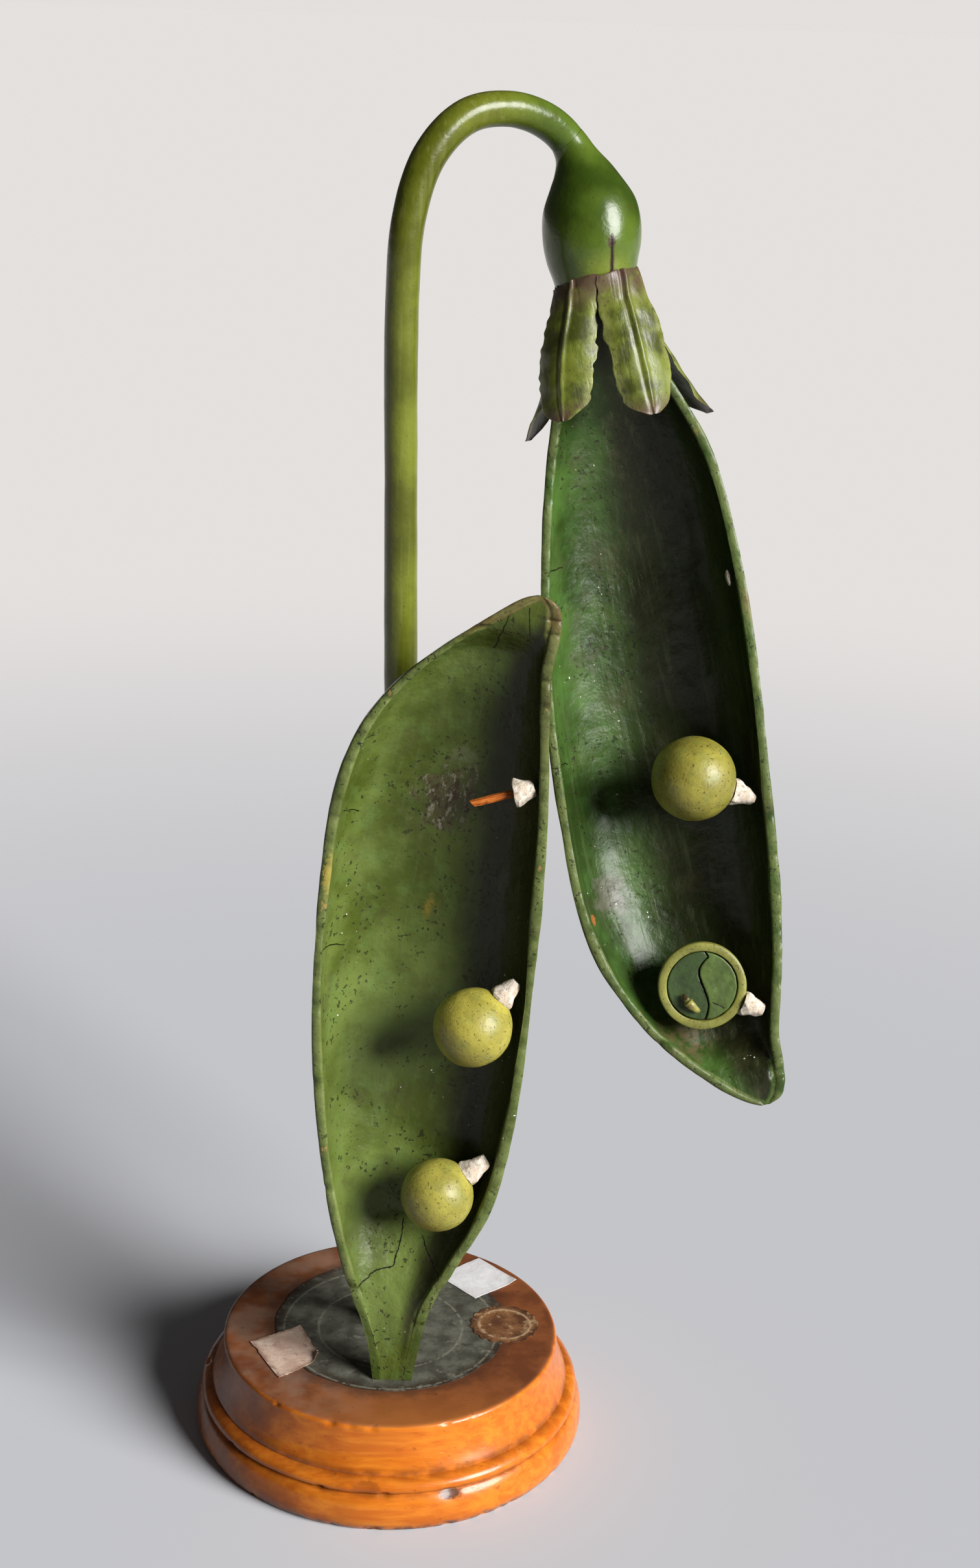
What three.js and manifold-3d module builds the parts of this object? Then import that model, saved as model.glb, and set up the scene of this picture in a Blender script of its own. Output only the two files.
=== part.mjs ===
// A papier-mache teaching model of an opened pea pod on a turned wooden base.
// Millimetres, +Z up, +X to the viewer's right, +Y to the back.
// The origin is the centre of the base's bottom face.
import * as THREE from 'three';
import { mergeVertices } from 'three/addons/utils/BufferGeometryUtils.js';
import Module from 'manifold-3d';

const wasm = await Module();
wasm.setup();

const DEG = Math.PI / 180;
const GAP = 0.3; // kept between pieces that touch inside a turned group

// Turned base and the papers glued to its top
const FOOT_RADIUS = 70;
const TOP_RADIUS = 60;
const BASE_HEIGHT = 35;
const SOCKET_RADIUS = 5.7;
const SOCKET_FLOOR = 17;
const PAPER = 0.2;
const GLUE = 0.02;
const ABOVE_DISC = BASE_HEIGHT + PAPER + 0.06;
const DISC_RADIUS = 42;
const DISC_SET_BACK = 2.5; // the disc was not glued quite in the middle
const SEAL_RADIUS = 12.5;
const SEAL_PLACE = [41.3, 4];
const SEAL_SCALLOPS = 16;

// Stem: an iron wire inside a papier-mache sleeve, swelling into the receptacle
const STEM_RADIUS = 5.36;
const SLEEVE_BORE = 2.2;
const WIRE_RADIUS = 1.3;
const WIRE_INTO_RECEPTACLE = 0.965; // where the wire ends, as a share of the whole centre line
const NECK = 0.915; // where the receptacle begins, as a share of the whole centre line
const ARCH_BEGINS = 0.67;
const STEM_LINE = [
  [0, 0, SOCKET_FLOOR + GAP],
  [0.6, 0, 110],
  [-0.2, 0, 230],
  [-2.3, 0, 340],
  [-3.1, 0, 402],
  [-1.7, 0.9, 426],
  [4.2, 4.4, 445],
  [15, 11, 456.4],
  [27.9, 18.5, 458.7],
  [39, 25, 455.4],
  [46.2, 28.8, 449.5],
  [50.9, 28, 440.7],
  [54.1, 25.6, 428.5],
  [57.14, 20.16, 407.75],
];
const RING_RADIUS = 12.9;
const CUP_RADIUS = 10.9;
const CUP_DEPTH = 14;

// One half of the pod, from the cut stalk to the beak:
// along, edge on the back seam, edge on the seed seam, depth of the outer wall
const POD = [
  [0, -6.4, 5.8, 4.6],
  [15, -11.3, 6.8, 6.6],
  [30, -17.8, 9.4, 9.6],
  [48, -24.6, 15.6, 14.6],
  [71, -32.6, 23, 20],
  [101, -40.6, 25.2, 24.5],
  [140, -47.8, 23.8, 27],
  [180, -51.4, 19.8, 27],
  [211, -51.7, 16.2, 25.5],
  [232, -47.6, 12.8, 22],
  [251, -38.4, 8.9, 17],
  [263, -29.2, 6.6, 13],
  [273, -19.6, 6.4, 9],
  [280, -12, 5.4, 6.2],
  [284, -6.3, 2.8, 3.8],
  [285.2, -3.6, -0.2, 2.2],
];
const POD_LENGTH = 285.2;
const WALL = 3.2;
const ROUNDNESS = 0.85; // power of the sine in a valve's section, under 1 for a fuller back
const CAVITY_FADES = 262; // along the pod, where the hollow starts to rise to the rim
const CAVITY_ENDS = 278;
const BOW_BACK = 2.8; // how far the back seam of the hanging valve moves to the seed side, and
const BOW_SEED = 1.8; // its seed seam too. Both move the other way on the standing valve.

// Places of the two valves
const STANDING_FOOT = [2.5, -33, ABOVE_DISC];
const STANDING_LEAN = 8.52 * DEG;
const STANDING_TILT = 0.3 * DEG; // back, onto the stem
const FOOT_SPARE = 2; // cut away to level the leaning foot
const HANGING_RING = STEM_LINE[STEM_LINE.length - 1];
const HANGING_LEAN = 14.57 * DEG;
const HANGING_TILT = 12 * DEG; // the beak comes forward
const STALK_IN_CUP = 11.7;

// Seeds: along the pod, across it, radius, and how far past the seed's middle, along the pod,
// its funicle meets the seam
const PEAS = {
  pea_hanging_upper: [173.6, -2.7, 13.9, 11],
  pea_standing_upper: [138.3, 3.3, 13.1, 17],
  pea_standing_lower: [74.9, 2.6, 12.3, 14],
};
const CUT_PEA = [241.3, -14.2, 14.6, 13];
const COAT = 2.9;
const CUT_HEIGHT = 1; // of the cut face in front of the cut pea's centre
const PEG_RADIUS = 1;
const PEG_BORE = 1.3;
const PEG_IN_PEA = 6;
const FUNICLE_LIP = 4.5;
const FUNICLE_END = 2.3;
const FUNICLE_DEPTH = 4; // behind the rim
const CUT_FUNICLE_DEPTH = 2.5;
const FUNICLE_BACK = 2; // solid part of a funicle behind the peg's end
const SEAM_CLEAR = 2.4; // from the middle of a funicle's end to the valve's wall

// The funicle whose seed has gone: place of its wide end, where it meets the seam, its bare peg
const BROKEN_WIDE_END = [3.6, 3, 220];
const BROKEN_SEAM_END = 221.5;
const BROKEN_DEPTH = 3.4;
const BROKEN_BACK = 1.5;
const BARE_PEG = 15.5;

// What is left of a funicle that broke away whole
const SCAR_ALONG = 112.5;
const SCAR_DEPTH = 3;
const SCAR_CLEAR = 1.8;
const SCAR_SIZE = [0.9, 1.2, 2.7];

const paint = {
  wood: new THREE.MeshStandardMaterial({ color: 0xb8641a, roughness: 0.3 }),
  disc: new THREE.MeshStandardMaterial({ color: 0x5c6255, roughness: 0.8 }),
  whitePaper: new THREE.MeshStandardMaterial({ color: 0xe8e8ea, roughness: 0.8 }),
  oldPaper: new THREE.MeshStandardMaterial({ color: 0xb9a390, roughness: 0.9 }),
  seal: new THREE.MeshStandardMaterial({ color: 0x8a6b4c, roughness: 0.7 }),
  iron: new THREE.MeshStandardMaterial({ color: 0x5a5450, roughness: 0.6, metalness: 0.9 }),
  stem: new THREE.MeshStandardMaterial({ color: 0x8a962c, roughness: 0.35 }),
  calyx: new THREE.MeshStandardMaterial({ color: 0x5f7a2a, roughness: 0.35 }),
  sepal: new THREE.MeshStandardMaterial({ color: 0x72802f, roughness: 0.45 }),
  pod: new THREE.MeshStandardMaterial({ color: 0x3c6a2c, roughness: 0.4 }),
  pea: new THREE.MeshStandardMaterial({ color: 0xa9ab4a, roughness: 0.5 }),
  kernel: new THREE.MeshStandardMaterial({ color: 0x3f5a26, roughness: 0.5 }),
  embryo: new THREE.MeshStandardMaterial({ color: 0x9a8a3c, roughness: 0.5 }),
  plaster: new THREE.MeshStandardMaterial({ color: 0xd9d2c8, roughness: 0.9 }),
  peg: new THREE.MeshStandardMaterial({ color: 0xa8622a, roughness: 0.7 }),
};

const model = new THREE.Group();

function addPiece(parent, name, geometry, material) {
  const mesh = new THREE.Mesh(geometry, material);
  mesh.name = name;
  parent.add(mesh);
  return mesh;
}

// ---- closed shapes -------------------------------------------------------------------------

// A closed body from rings of points, each with as many points as the first. The first and last
// rings are closed by flat caps. Points run so that the faces look out.
function loft(rings) {
  const count = rings[0].length;
  const positions = rings.flat(2);
  const index = [];
  for (let r = 0; r < rings.length - 1; r += 1) {
    for (let i = 0; i < count; i += 1) {
      const a = r * count + i;
      const b = r * count + ((i + 1) % count);
      index.push(a, b, b + count);
      index.push(a, b + count, a + count);
    }
  }
  const last = (rings.length - 1) * count;
  for (const [first, turn] of [[0, true], [last, false]]) {
    for (let i = 1; i < count - 1; i += 1) {
      const tri = [first, first + i, first + i + 1];
      index.push(...(turn ? tri.reverse() : tri));
    }
  }
  return bufferOf(positions, index);
}

// A curved sheet of even thickness, closed all round, from rows of points on its outer face and
// the matching rows on its inner face.
function thickSheet(outer, inner) {
  const rows = outer.length;
  const columns = outer[0].length;
  const positions = [...outer.flat(2), ...inner.flat(2)];
  const at = (side, r, c) => side * rows * columns + r * columns + c;
  const index = [];
  const quad = (a, b, c, d) => index.push(a, b, c, a, c, d);
  for (let r = 0; r < rows - 1; r += 1) {
    for (let c = 0; c < columns - 1; c += 1) {
      quad(at(0, r, c), at(0, r, c + 1), at(0, r + 1, c + 1), at(0, r + 1, c));
      quad(at(1, r, c), at(1, r + 1, c), at(1, r + 1, c + 1), at(1, r, c + 1));
    }
    quad(at(0, r, 0), at(0, r + 1, 0), at(1, r + 1, 0), at(1, r, 0));
    const edge = columns - 1;
    quad(at(0, r, edge), at(1, r, edge), at(1, r + 1, edge), at(0, r + 1, edge));
  }
  for (let c = 0; c < columns - 1; c += 1) {
    quad(at(0, 0, c), at(1, 0, c), at(1, 0, c + 1), at(0, 0, c + 1));
    const end = rows - 1;
    quad(at(0, end, c), at(0, end, c + 1), at(1, end, c + 1), at(1, end, c));
  }
  return bufferOf(positions, index);
}

function bufferOf(positions, index) {
  const geometry = new THREE.BufferGeometry();
  geometry.setAttribute('position', new THREE.Float32BufferAttribute(positions, 3));
  geometry.setIndex(index);
  return faceOut(geometry);
}

// Turns a closed geometry's faces round if they look inwards.
function faceOut(geometry) {
  const point = geometry.getAttribute('position');
  const index = geometry.index.array;
  const [a, b, c] = [new THREE.Vector3(), new THREE.Vector3(), new THREE.Vector3()];
  let volume = 0;
  for (let i = 0; i < index.length; i += 3) {
    a.fromBufferAttribute(point, index[i]);
    b.fromBufferAttribute(point, index[i + 1]);
    c.fromBufferAttribute(point, index[i + 2]);
    volume += a.dot(b.cross(c));
  }
  if (volume < 0) {
    for (let i = 0; i < index.length; i += 3) {
      [index[i + 1], index[i + 2]] = [index[i + 2], index[i + 1]];
    }
  }
  return geometry;
}

// A body of revolution about +Z from (radius, height) points that start and end on the axis.
function turned(profile, segments) {
  const points = profile.map(([r, z]) => new THREE.Vector2(r, z));
  return faceOut(new THREE.LatheGeometry(points, segments).rotateX(90 * DEG));
}

// Every ring of a tube round the stem's centre line, from one share of its length to another.
function tubeRings(from, to, steps, sides, radiusAt) {
  const rings = [];
  for (let i = 0; i <= steps; i += 1) {
    const share = from + ((to - from) * i) / steps;
    const centre = stemCurve.getPointAt(share);
    rings.push(ringAcross(centre, stemDirection(share), radiusAt(share), sides));
  }
  return rings;
}

// Where the stem heads at a share of its length. It turns into the pod's own axis at the ring.
function stemDirection(share) {
  const turning = THREE.MathUtils.smoothstep(share, NECK, 1);
  return stemCurve.getTangentAt(share).lerp(podAxis, turning).normalize();
}

// A circle of points about a centre, square to a direction. The sideways axis is fixed, so that
// neighbouring rings line up.
function ringAcross(centre, direction, radius, sides) {
  const across = new THREE.Vector3(-Math.sin(ARCH_TURN), Math.cos(ARCH_TURN), 0);
  const up = new THREE.Vector3().crossVectors(direction, across).normalize();
  const side = new THREE.Vector3().crossVectors(up, direction).normalize();
  const ring = [];
  for (let i = 0; i < sides; i += 1) {
    const angle = (i / sides) * 2 * Math.PI;
    const point = centre.clone();
    point.addScaledVector(side, radius * Math.cos(angle));
    point.addScaledVector(up, radius * Math.sin(angle));
    ring.push(point.toArray());
  }
  return ring;
}

// ---- joining and cutting -------------------------------------------------------------------

function toSolid(geometry) {
  const bare = geometry.clone();
  bare.deleteAttribute('normal');
  bare.deleteAttribute('uv');
  const merged = mergeVertices(bare, 1e-4);
  const mesh = new wasm.Mesh({
    numProp: 3,
    vertProperties: merged.getAttribute('position').array,
    triVerts: new Uint32Array(merged.index.array),
  });
  return new wasm.Manifold(mesh);
}

function toGeometry(solid) {
  const mesh = solid.getMesh();
  const geometry = new THREE.BufferGeometry();
  geometry.setAttribute('position', new THREE.BufferAttribute(mesh.vertProperties, 3));
  geometry.setIndex(new THREE.BufferAttribute(mesh.triVerts, 1));
  return geometry;
}

// ---- base ----------------------------------------------------------------------------------

// Outline of the turned base: foot roll, small bead, hollow moulding up to the top's edge.
function baseProfile() {
  const line = new THREE.Path();
  line.moveTo(0, 0);
  line.lineTo(FOOT_RADIUS - 1.6, 0);
  line.bezierCurveTo(FOOT_RADIUS, 1.4, FOOT_RADIUS + 0.5, 4, FOOT_RADIUS, 6.6);
  line.bezierCurveTo(FOOT_RADIUS - 0.4, 9.6, FOOT_RADIUS - 1.4, 12, FOOT_RADIUS - 2.9, 13.2);
  line.bezierCurveTo(FOOT_RADIUS - 1, 14.4, FOOT_RADIUS - 2.2, 17.4, FOOT_RADIUS - 5.8, 18.3);
  line.bezierCurveTo(64.4, 20, TOP_RADIUS + 1.2, 23, TOP_RADIUS + 0.3, 33.8);
  line.lineTo(TOP_RADIUS - 0.6, BASE_HEIGHT);
  line.lineTo(SOCKET_RADIUS, BASE_HEIGHT);
  line.lineTo(SOCKET_RADIUS, SOCKET_FLOOR);
  line.lineTo(0, SOCKET_FLOOR);
  return line.getPoints(4).map((p) => [p.x, p.y]);
}

function paperDisc() {
  const outline = new THREE.Shape();
  outline.absarc(0, DISC_SET_BACK, DISC_RADIUS, 0, 2 * Math.PI, false);
  const hole = new THREE.Path();
  hole.absarc(0, 0, SOCKET_RADIUS + 0.3, 0, 2 * Math.PI, true);
  outline.holes.push(hole);
  const options = { depth: PAPER, bevelEnabled: false, curveSegments: 16 };
  return new THREE.ExtrudeGeometry(outline, options);
}

function cornerPaper(corners) {
  const outline = new THREE.Shape(corners.map(([x, y]) => new THREE.Vector2(x, y)));
  return new THREE.ExtrudeGeometry(outline, { depth: PAPER, bevelEnabled: false });
}

// Round paper seal with a scalloped edge.
function sealPaper(radius, scallops) {
  const corners = [];
  for (let i = 0; i < scallops * 2; i += 1) {
    const angle = (i / scallops) * Math.PI;
    const reach = i % 2 ? radius - 1.1 : radius;
    corners.push([reach * Math.cos(angle), reach * Math.sin(angle)]);
  }
  return cornerPaper(corners);
}

function buildBase() {
  addPiece(model, 'base', turned(baseProfile(), 40), paint.wood);
  const disc = addPiece(model, 'paper_disc', paperDisc(), paint.disc);
  disc.position.z = BASE_HEIGHT + GLUE;
  const papers = [
    ['old_label', cornerPaper([[-49.6, -12.7], [-37.1, -34.2], [-22.8, -21.5], [-32.7, -1.2]]),
      paint.oldPaper],
    ['white_label', cornerPaper([[15.8, 35.4], [30.3, 20.3], [46, 33.8], [31.3, 48.8]]),
      paint.whitePaper],
    ['seal', sealPaper(SEAL_RADIUS, SEAL_SCALLOPS), paint.seal],
  ];
  for (const [name, geometry, material] of papers) {
    addPiece(model, name, geometry, material).position.z = ABOVE_DISC;
  }
  model.getObjectByName('seal').position.set(...SEAL_PLACE, ABOVE_DISC);
}

// ---- stem and receptacle -------------------------------------------------------------------

const stemCurve = new THREE.CatmullRomCurve3(STEM_LINE.map((p) => new THREE.Vector3(...p)));
stemCurve.arcLengthDivisions = 800;
const hangingTurn = new THREE.Euler(Math.PI - HANGING_TILT, HANGING_LEAN, 0);
const podAxis = new THREE.Vector3(0, 0, 1).applyEuler(hangingTurn);
const ARCH_TURN = Math.atan2(HANGING_RING[1], HANGING_RING[0]); // how far back the arch swings

// Radius of the receptacle at a share of its own length, from the neck to the ring.
function receptacleRadius(share) {
  const swell = new THREE.CubicInterpolant(
    [0, 0.12, 0.3, 0.48, 0.64, 0.8, 0.93, 1],
    [STEM_RADIUS, 6.4, 10.6, 14.6, 15.7, 15.2, 13.6, RING_RADIUS],
    1,
  );
  return swell.evaluate(share)[0];
}

// Rings of one radius along the stem: long steps up the straight part, short ones round the arch.
function stemRings(to, sides, radius) {
  const straight = tubeRings(0, ARCH_BEGINS, 7, sides, () => radius);
  const arch = tubeRings(ARCH_BEGINS, to, 18, sides, () => radius);
  return [...straight, ...arch.slice(1)];
}

// A tube with an open bore: out along the outer rings, back along the inner ones.
function loftedTube(outer, inner) {
  const count = outer[0].length;
  const loop = [...outer, ...inner.reverse()];
  const index = [];
  for (let r = 0; r < loop.length; r += 1) {
    const next = (r + 1) % loop.length;
    for (let i = 0; i < count; i += 1) {
      const j = (i + 1) % count;
      index.push(r * count + i, r * count + j, next * count + j);
      index.push(r * count + i, next * count + j, next * count + i);
    }
  }
  return bufferOf(loop.flat(2), index);
}

// The swollen end of the stem: a blind hole for the wire above, a cup for the pod's stalk below.
function receptacleBody() {
  const sides = 20;
  const begin = NECK + 0.0007;
  const span = 1 - begin;
  const total = stemCurve.getLength();
  const wire = tubeRings(WIRE_INTO_RECEPTACLE + 0.001, begin, 6, sides, () => SLEEVE_BORE);
  const radiusAt = (share) => receptacleRadius((share - begin) / span);
  const outside = tubeRings(begin, 1, 12, sides, radiusAt);
  const cup = tubeRings(1, 1 - CUP_DEPTH / total, 3, sides, () => CUP_RADIUS);
  return loft([...wire, ...outside, ...cup]);
}

function buildStem() {
  const sleeve = loftedTube(stemRings(NECK, 12, STEM_RADIUS), stemRings(NECK, 12, SLEEVE_BORE));
  addPiece(model, 'stem_wire', loft(stemRings(WIRE_INTO_RECEPTACLE, 6, WIRE_RADIUS)), paint.iron);
  addPiece(model, 'stem', sleeve, paint.stem);
  addPiece(model, 'receptacle', receptacleBody(), paint.calyx);
}

// ---- pod valves ----------------------------------------------------------------------------

const podShape = new THREE.CubicInterpolant(
  POD.map((row) => row[0]),
  POD.flatMap((row) => row.slice(1)),
  3,
);

// Middle, half width and outer depth of a valve's section, and the same for its hollow.
// bow is +1 on the hanging valve and -1 on the standing one.
function podSection(along, bow) {
  const [straightBack, straightSeed, depth] = podShape.evaluate(Math.min(along, POD_LENGTH));
  const rise = THREE.MathUtils.smoothstep(along, 5, 55);
  const bent = bow * rise * (1 - THREE.MathUtils.smoothstep(along, 235, POD_LENGTH));
  const back = straightBack + BOW_BACK * bent;
  const seed = straightSeed + BOW_SEED * bent;
  const middle = (back + seed) / 2;
  const half = (seed - back) / 2;
  const fade = 1 - THREE.MathUtils.smoothstep(along, CAVITY_FADES, CAVITY_ENDS);
  return {
    middle,
    half,
    depth,
    innerHalf: Math.max(half - WALL, half * 0.35),
    innerDepth: Math.max(depth - WALL, 0) * fade,
  };
}

// One valve: a long shell whose rim lies in the plane y = 0. side is +1 where the back of the
// valve is at +Y, and -1 where it is at -Y.
function valveBody(side, bow, begin) {
  const arcs = 12;
  const stations = 30;
  const rings = [];
  for (let i = 0; i <= stations; i += 1) {
    const even = i / stations;
    const along = begin + (POD_LENGTH - begin) * Math.sin(even * 0.5 * Math.PI) ** 1.15;
    const s = podSection(along, bow);
    const ring = [];
    for (let j = 0; j <= arcs; j += 1) {
      const angle = (j / arcs) * Math.PI;
      ring.push(sectionPoint(s.middle, s.half, s.depth, angle, side, along));
    }
    for (let j = arcs; j >= 0; j -= 1) {
      const angle = (j / arcs) * Math.PI;
      ring.push(sectionPoint(s.middle, s.innerHalf, s.innerDepth, angle, side, along));
    }
    rings.push(ring);
  }
  return ribbonLoft(rings, arcs + 1);
}

function sectionPoint(middle, half, depth, angle, side, along) {
  const back = depth * Math.max(Math.sin(angle), 0) ** ROUNDNESS;
  return [middle + half * Math.cos(angle), side * back, along];
}

// Like loft, for rings that are bent strips: an end is closed by quads between the strip's sides.
function ribbonLoft(rings, half) {
  const count = half * 2;
  const index = [];
  for (let r = 0; r < rings.length - 1; r += 1) {
    for (let i = 0; i < count; i += 1) {
      const a = r * count + i;
      const b = r * count + ((i + 1) % count);
      index.push(a, b, b + count, a, b + count, a + count);
    }
  }
  for (const [first, turn] of [[0, true], [(rings.length - 1) * count, false]]) {
    for (let i = 0; i < half - 1; i += 1) {
      const corners = [first + i, first + i + 1, first + count - 2 - i, first + count - 1 - i];
      if (turn) corners.reverse();
      index.push(corners[0], corners[1], corners[2], corners[0], corners[2], corners[3]);
    }
  }
  return bufferOf(rings.flat(2), index);
}

// Place on the hollow's wall by the seed seam, at a depth behind the rim.
function seedWall(along, bow, depth) {
  const s = podSection(along, bow);
  const share = Math.min(depth / s.innerDepth, 1) ** (1 / ROUNDNESS);
  return s.middle + s.innerHalf * Math.sqrt(1 - share * share);
}

// ---- seeds, their stalks and pegs ----------------------------------------------------------

function peaBody(radius) {
  const profile = [];
  const steps = 9;
  for (let i = 0; i <= steps; i += 1) {
    const angle = -90 * DEG + (i / steps) * (180 * DEG - Math.asin(PEG_BORE / radius));
    profile.push([Math.max(radius * Math.cos(angle), 0), radius * Math.sin(angle)]);
  }
  profile[0][0] = 0;
  profile[steps][0] = PEG_BORE;
  profile.push([PEG_BORE, radius - PEG_IN_PEA - GAP]);
  profile.push([0, radius - PEG_IN_PEA - GAP]);
  return turned(profile, 16);
}

// A funicle: a horn whose wide hollow lip takes the seed, and whose narrow end meets the seam.
function funicleBody(radius, length) {
  const seat = radius + GAP;
  const lip = Math.sqrt(seat * seat - FUNICLE_LIP * FUNICLE_LIP);
  const end = radius + length;
  return turned([
    [0, end - FUNICLE_BACK],
    [PEG_BORE, end - FUNICLE_BACK],
    [PEG_BORE, Math.sqrt(seat * seat - PEG_BORE * PEG_BORE)],
    [FUNICLE_LIP, lip],
    [FUNICLE_LIP + 0.2, lip + 1],
    [3.2, lip + (end - lip) * 0.5],
    [FUNICLE_END, end],
    [0, end],
  ], 12);
}

function pegBody(from, to) {
  return turned([[0, from], [PEG_RADIUS, from], [PEG_RADIUS, to], [0, to]], 8);
}

// Turns a holder so that its +Z points along the pod plane, from a seed to the seed seam.
function holderTowards(group, place, target) {
  const holder = new THREE.Group();
  holder.position.set(...place);
  const direction = new THREE.Vector3(...target).sub(holder.position);
  holder.quaternion.setFromUnitVectors(new THREE.Vector3(0, 0, 1), direction.clone().normalize());
  group.add(holder);
  return { holder, distance: direction.length() };
}

// Where a funicle meets the wall by the seed seam, at a depth behind the rim.
function seamPlace(pod, along, depth) {
  const across = seedWall(along, pod.bow, depth) - SEAM_CLEAR;
  return [across, pod.side * depth, along - pod.begin];
}

// A whole seed with its funicle and peg.
function addPea(pod, name) {
  const [along, across, radius, reach] = PEAS[name];
  const target = seamPlace(pod, along + reach, FUNICLE_DEPTH);
  const { holder, distance } = holderTowards(pod.group, [across, 0, along - pod.begin], target);
  addPiece(holder, name, peaBody(radius), paint.pea);
  const place = name.replace('pea_', '');
  addPiece(holder, `funicle_${place}`, funicleBody(radius, distance - radius), paint.plaster);
  const pegEnd = distance - FUNICLE_BACK - GAP;
  addPiece(holder, `peg_${place}`, pegBody(radius - PEG_IN_PEA, pegEnd), paint.peg);
}

// The seed that is cut open: a coat, two kernel halves and the embryo, seen on a flat face.
function addCutPea(pod) {
  const [along, across, radius, reach] = CUT_PEA;
  const middle = [across, 0, along - pod.begin];
  const target = seamPlace(pod, along + reach, CUT_FUNICLE_DEPTH);
  const { holder, distance } = holderTowards(pod.group, middle, target);
  addPiece(holder, 'funicle_cut', funicleBody(radius, distance - radius), paint.plaster);
  const pegEnd = distance - FUNICLE_BACK - GAP;
  addPiece(holder, 'peg_cut', pegBody(radius - COAT + GAP, pegEnd), paint.peg);

  const face = new THREE.Group();
  face.position.set(...middle);
  pod.group.add(face);
  const frontHalf = toSolid(new THREE.BoxGeometry(60, 30, 60).translate(0, 15 + CUT_HEIGHT, 0));
  const bore = new THREE.CylinderGeometry(PEG_BORE, PEG_BORE, radius, 10).rotateX(90 * DEG);
  bore.translate(0, 0, radius).applyQuaternion(holder.quaternion);
  const outer = toSolid(new THREE.SphereGeometry(radius, 20, 14));
  const hollow = toSolid(new THREE.SphereGeometry(radius - COAT, 20, 14));
  const coat = outer.subtract(hollow).subtract(frontHalf).subtract(toSolid(bore));
  addPiece(face, 'pea_coat_cut', toGeometry(coat), paint.pea);

  const kernel = toSolid(new THREE.SphereGeometry(radius - COAT - GAP, 20, 14)).subtract(frontHalf);
  addPiece(face, 'kernel_left', toGeometry(kernel.intersect(kernelHalf(-1))), paint.kernel);
  addPiece(face, 'kernel_right', toGeometry(kernel.intersect(kernelHalf(1))), paint.kernel);
  addPiece(face, 'embryo', embryoBody(), paint.embryo);
}

// Everything on one side of the curving line between the kernel's halves.
function kernelHalf(side) {
  const shift = side * 0.2;
  const seam = new THREE.Shape();
  seam.moveTo(side * 20, -20);
  seam.lineTo(shift, -20);
  seam.lineTo(shift + 4, -9);
  seam.bezierCurveTo(shift - 6, -4, shift + 6, 3, shift - 2, 12);
  seam.lineTo(shift - 2, 20);
  seam.lineTo(side * 20, 20);
  const depth = 50;
  const options = { depth, bevelEnabled: false, curveSegments: 8 };
  const block = new THREE.ExtrudeGeometry(seam, options);
  return toSolid(block.translate(0, 0, -depth / 2).rotateX(90 * DEG));
}

// The small curved embryo lying on the kernel's face.
function embryoBody() {
  const line = new THREE.QuadraticBezierCurve3(
    new THREE.Vector3(-2.6, 0, 8),
    new THREE.Vector3(-5.8, 0, 5),
    new THREE.Vector3(-6.6, 0, 1.2),
  );
  const rings = [];
  const steps = 6;
  for (let i = 0; i <= steps; i += 1) {
    const share = i / steps;
    const radius = 0.5 + 1.1 * Math.sin(share * Math.PI) ** 0.7;
    const centre = line.getPoint(share);
    const along = line.getTangent(share);
    const ring = [];
    for (let j = 0; j < 8; j += 1) {
      const angle = (j / 8) * 2 * Math.PI;
      const out = radius * Math.cos(angle);
      ring.push([
        centre.x - along.z * out,
        CUT_HEIGHT + 0.1 + radius + radius * Math.sin(angle),
        centre.z + along.x * out,
      ]);
    }
    rings.push(ring);
  }
  return loft(rings);
}

// A funicle whose seed has gone: its peg stands out bare.
function addBareFunicle(pod) {
  const [across, depth, along] = BROKEN_WIDE_END;
  const wide = [across, pod.side * depth, along - pod.begin];
  const target = seamPlace(pod, BROKEN_SEAM_END, BROKEN_DEPTH);
  const { holder, distance } = holderTowards(pod.group, wide, target);
  addPiece(holder, 'funicle_broken', turned([
    [0, distance - BROKEN_BACK],
    [PEG_BORE, distance - BROKEN_BACK],
    [PEG_BORE, 0.6],
    [4.4, -0.6],
    [4.7, 0.6],
    [3.2, distance * 0.55],
    [2.6, distance],
    [0, distance],
  ], 12), paint.plaster);
  addPiece(holder, 'peg_bare', pegBody(-BARE_PEG, distance - BROKEN_BACK - GAP), paint.peg);
}

// What is left on the seam of a funicle that broke away whole.
function addSeamScar(pod) {
  const scar = addPiece(pod.group, 'funicle_scar', new THREE.SphereGeometry(1, 10, 8), paint.plaster);
  const across = seedWall(SCAR_ALONG, pod.bow, SCAR_DEPTH) - SCAR_CLEAR;
  scar.scale.set(...SCAR_SIZE);
  scar.position.set(across, pod.side * SCAR_DEPTH, SCAR_ALONG - pod.begin);
}

// ---- calyx ---------------------------------------------------------------------------------

// Sepals: angle round the ring from the front, angle the blade faces, the tip's place across,
// forward and down, how far the middle swings across and out, and the greatest width.
const SEPALS = [
  ['sepal_front_left', -37, -24, [-20, 13, 41], [-3, 2.5], 18.5],
  ['sepal_front_right', 37, 22, [8, 14.5, 45], [0, 4], 19],
  ['sepal_right', 108, 104, [27.5, -8.5, 48], [-2, -3], 17],
  ['sepal_back', 180, 180, [-2, -25, 46], [0, 1.2], 18],
  ['sepal_left', -108, -104, [-32, -9, 44], [2, -3], 17],
];
const SEPAL_THICKNESS = 1.2;
const SEPAL_RING = 11.7; // radius at which they are attached
const SEPAL_CURL = 26; // the smaller, the more the edges curl in

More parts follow.
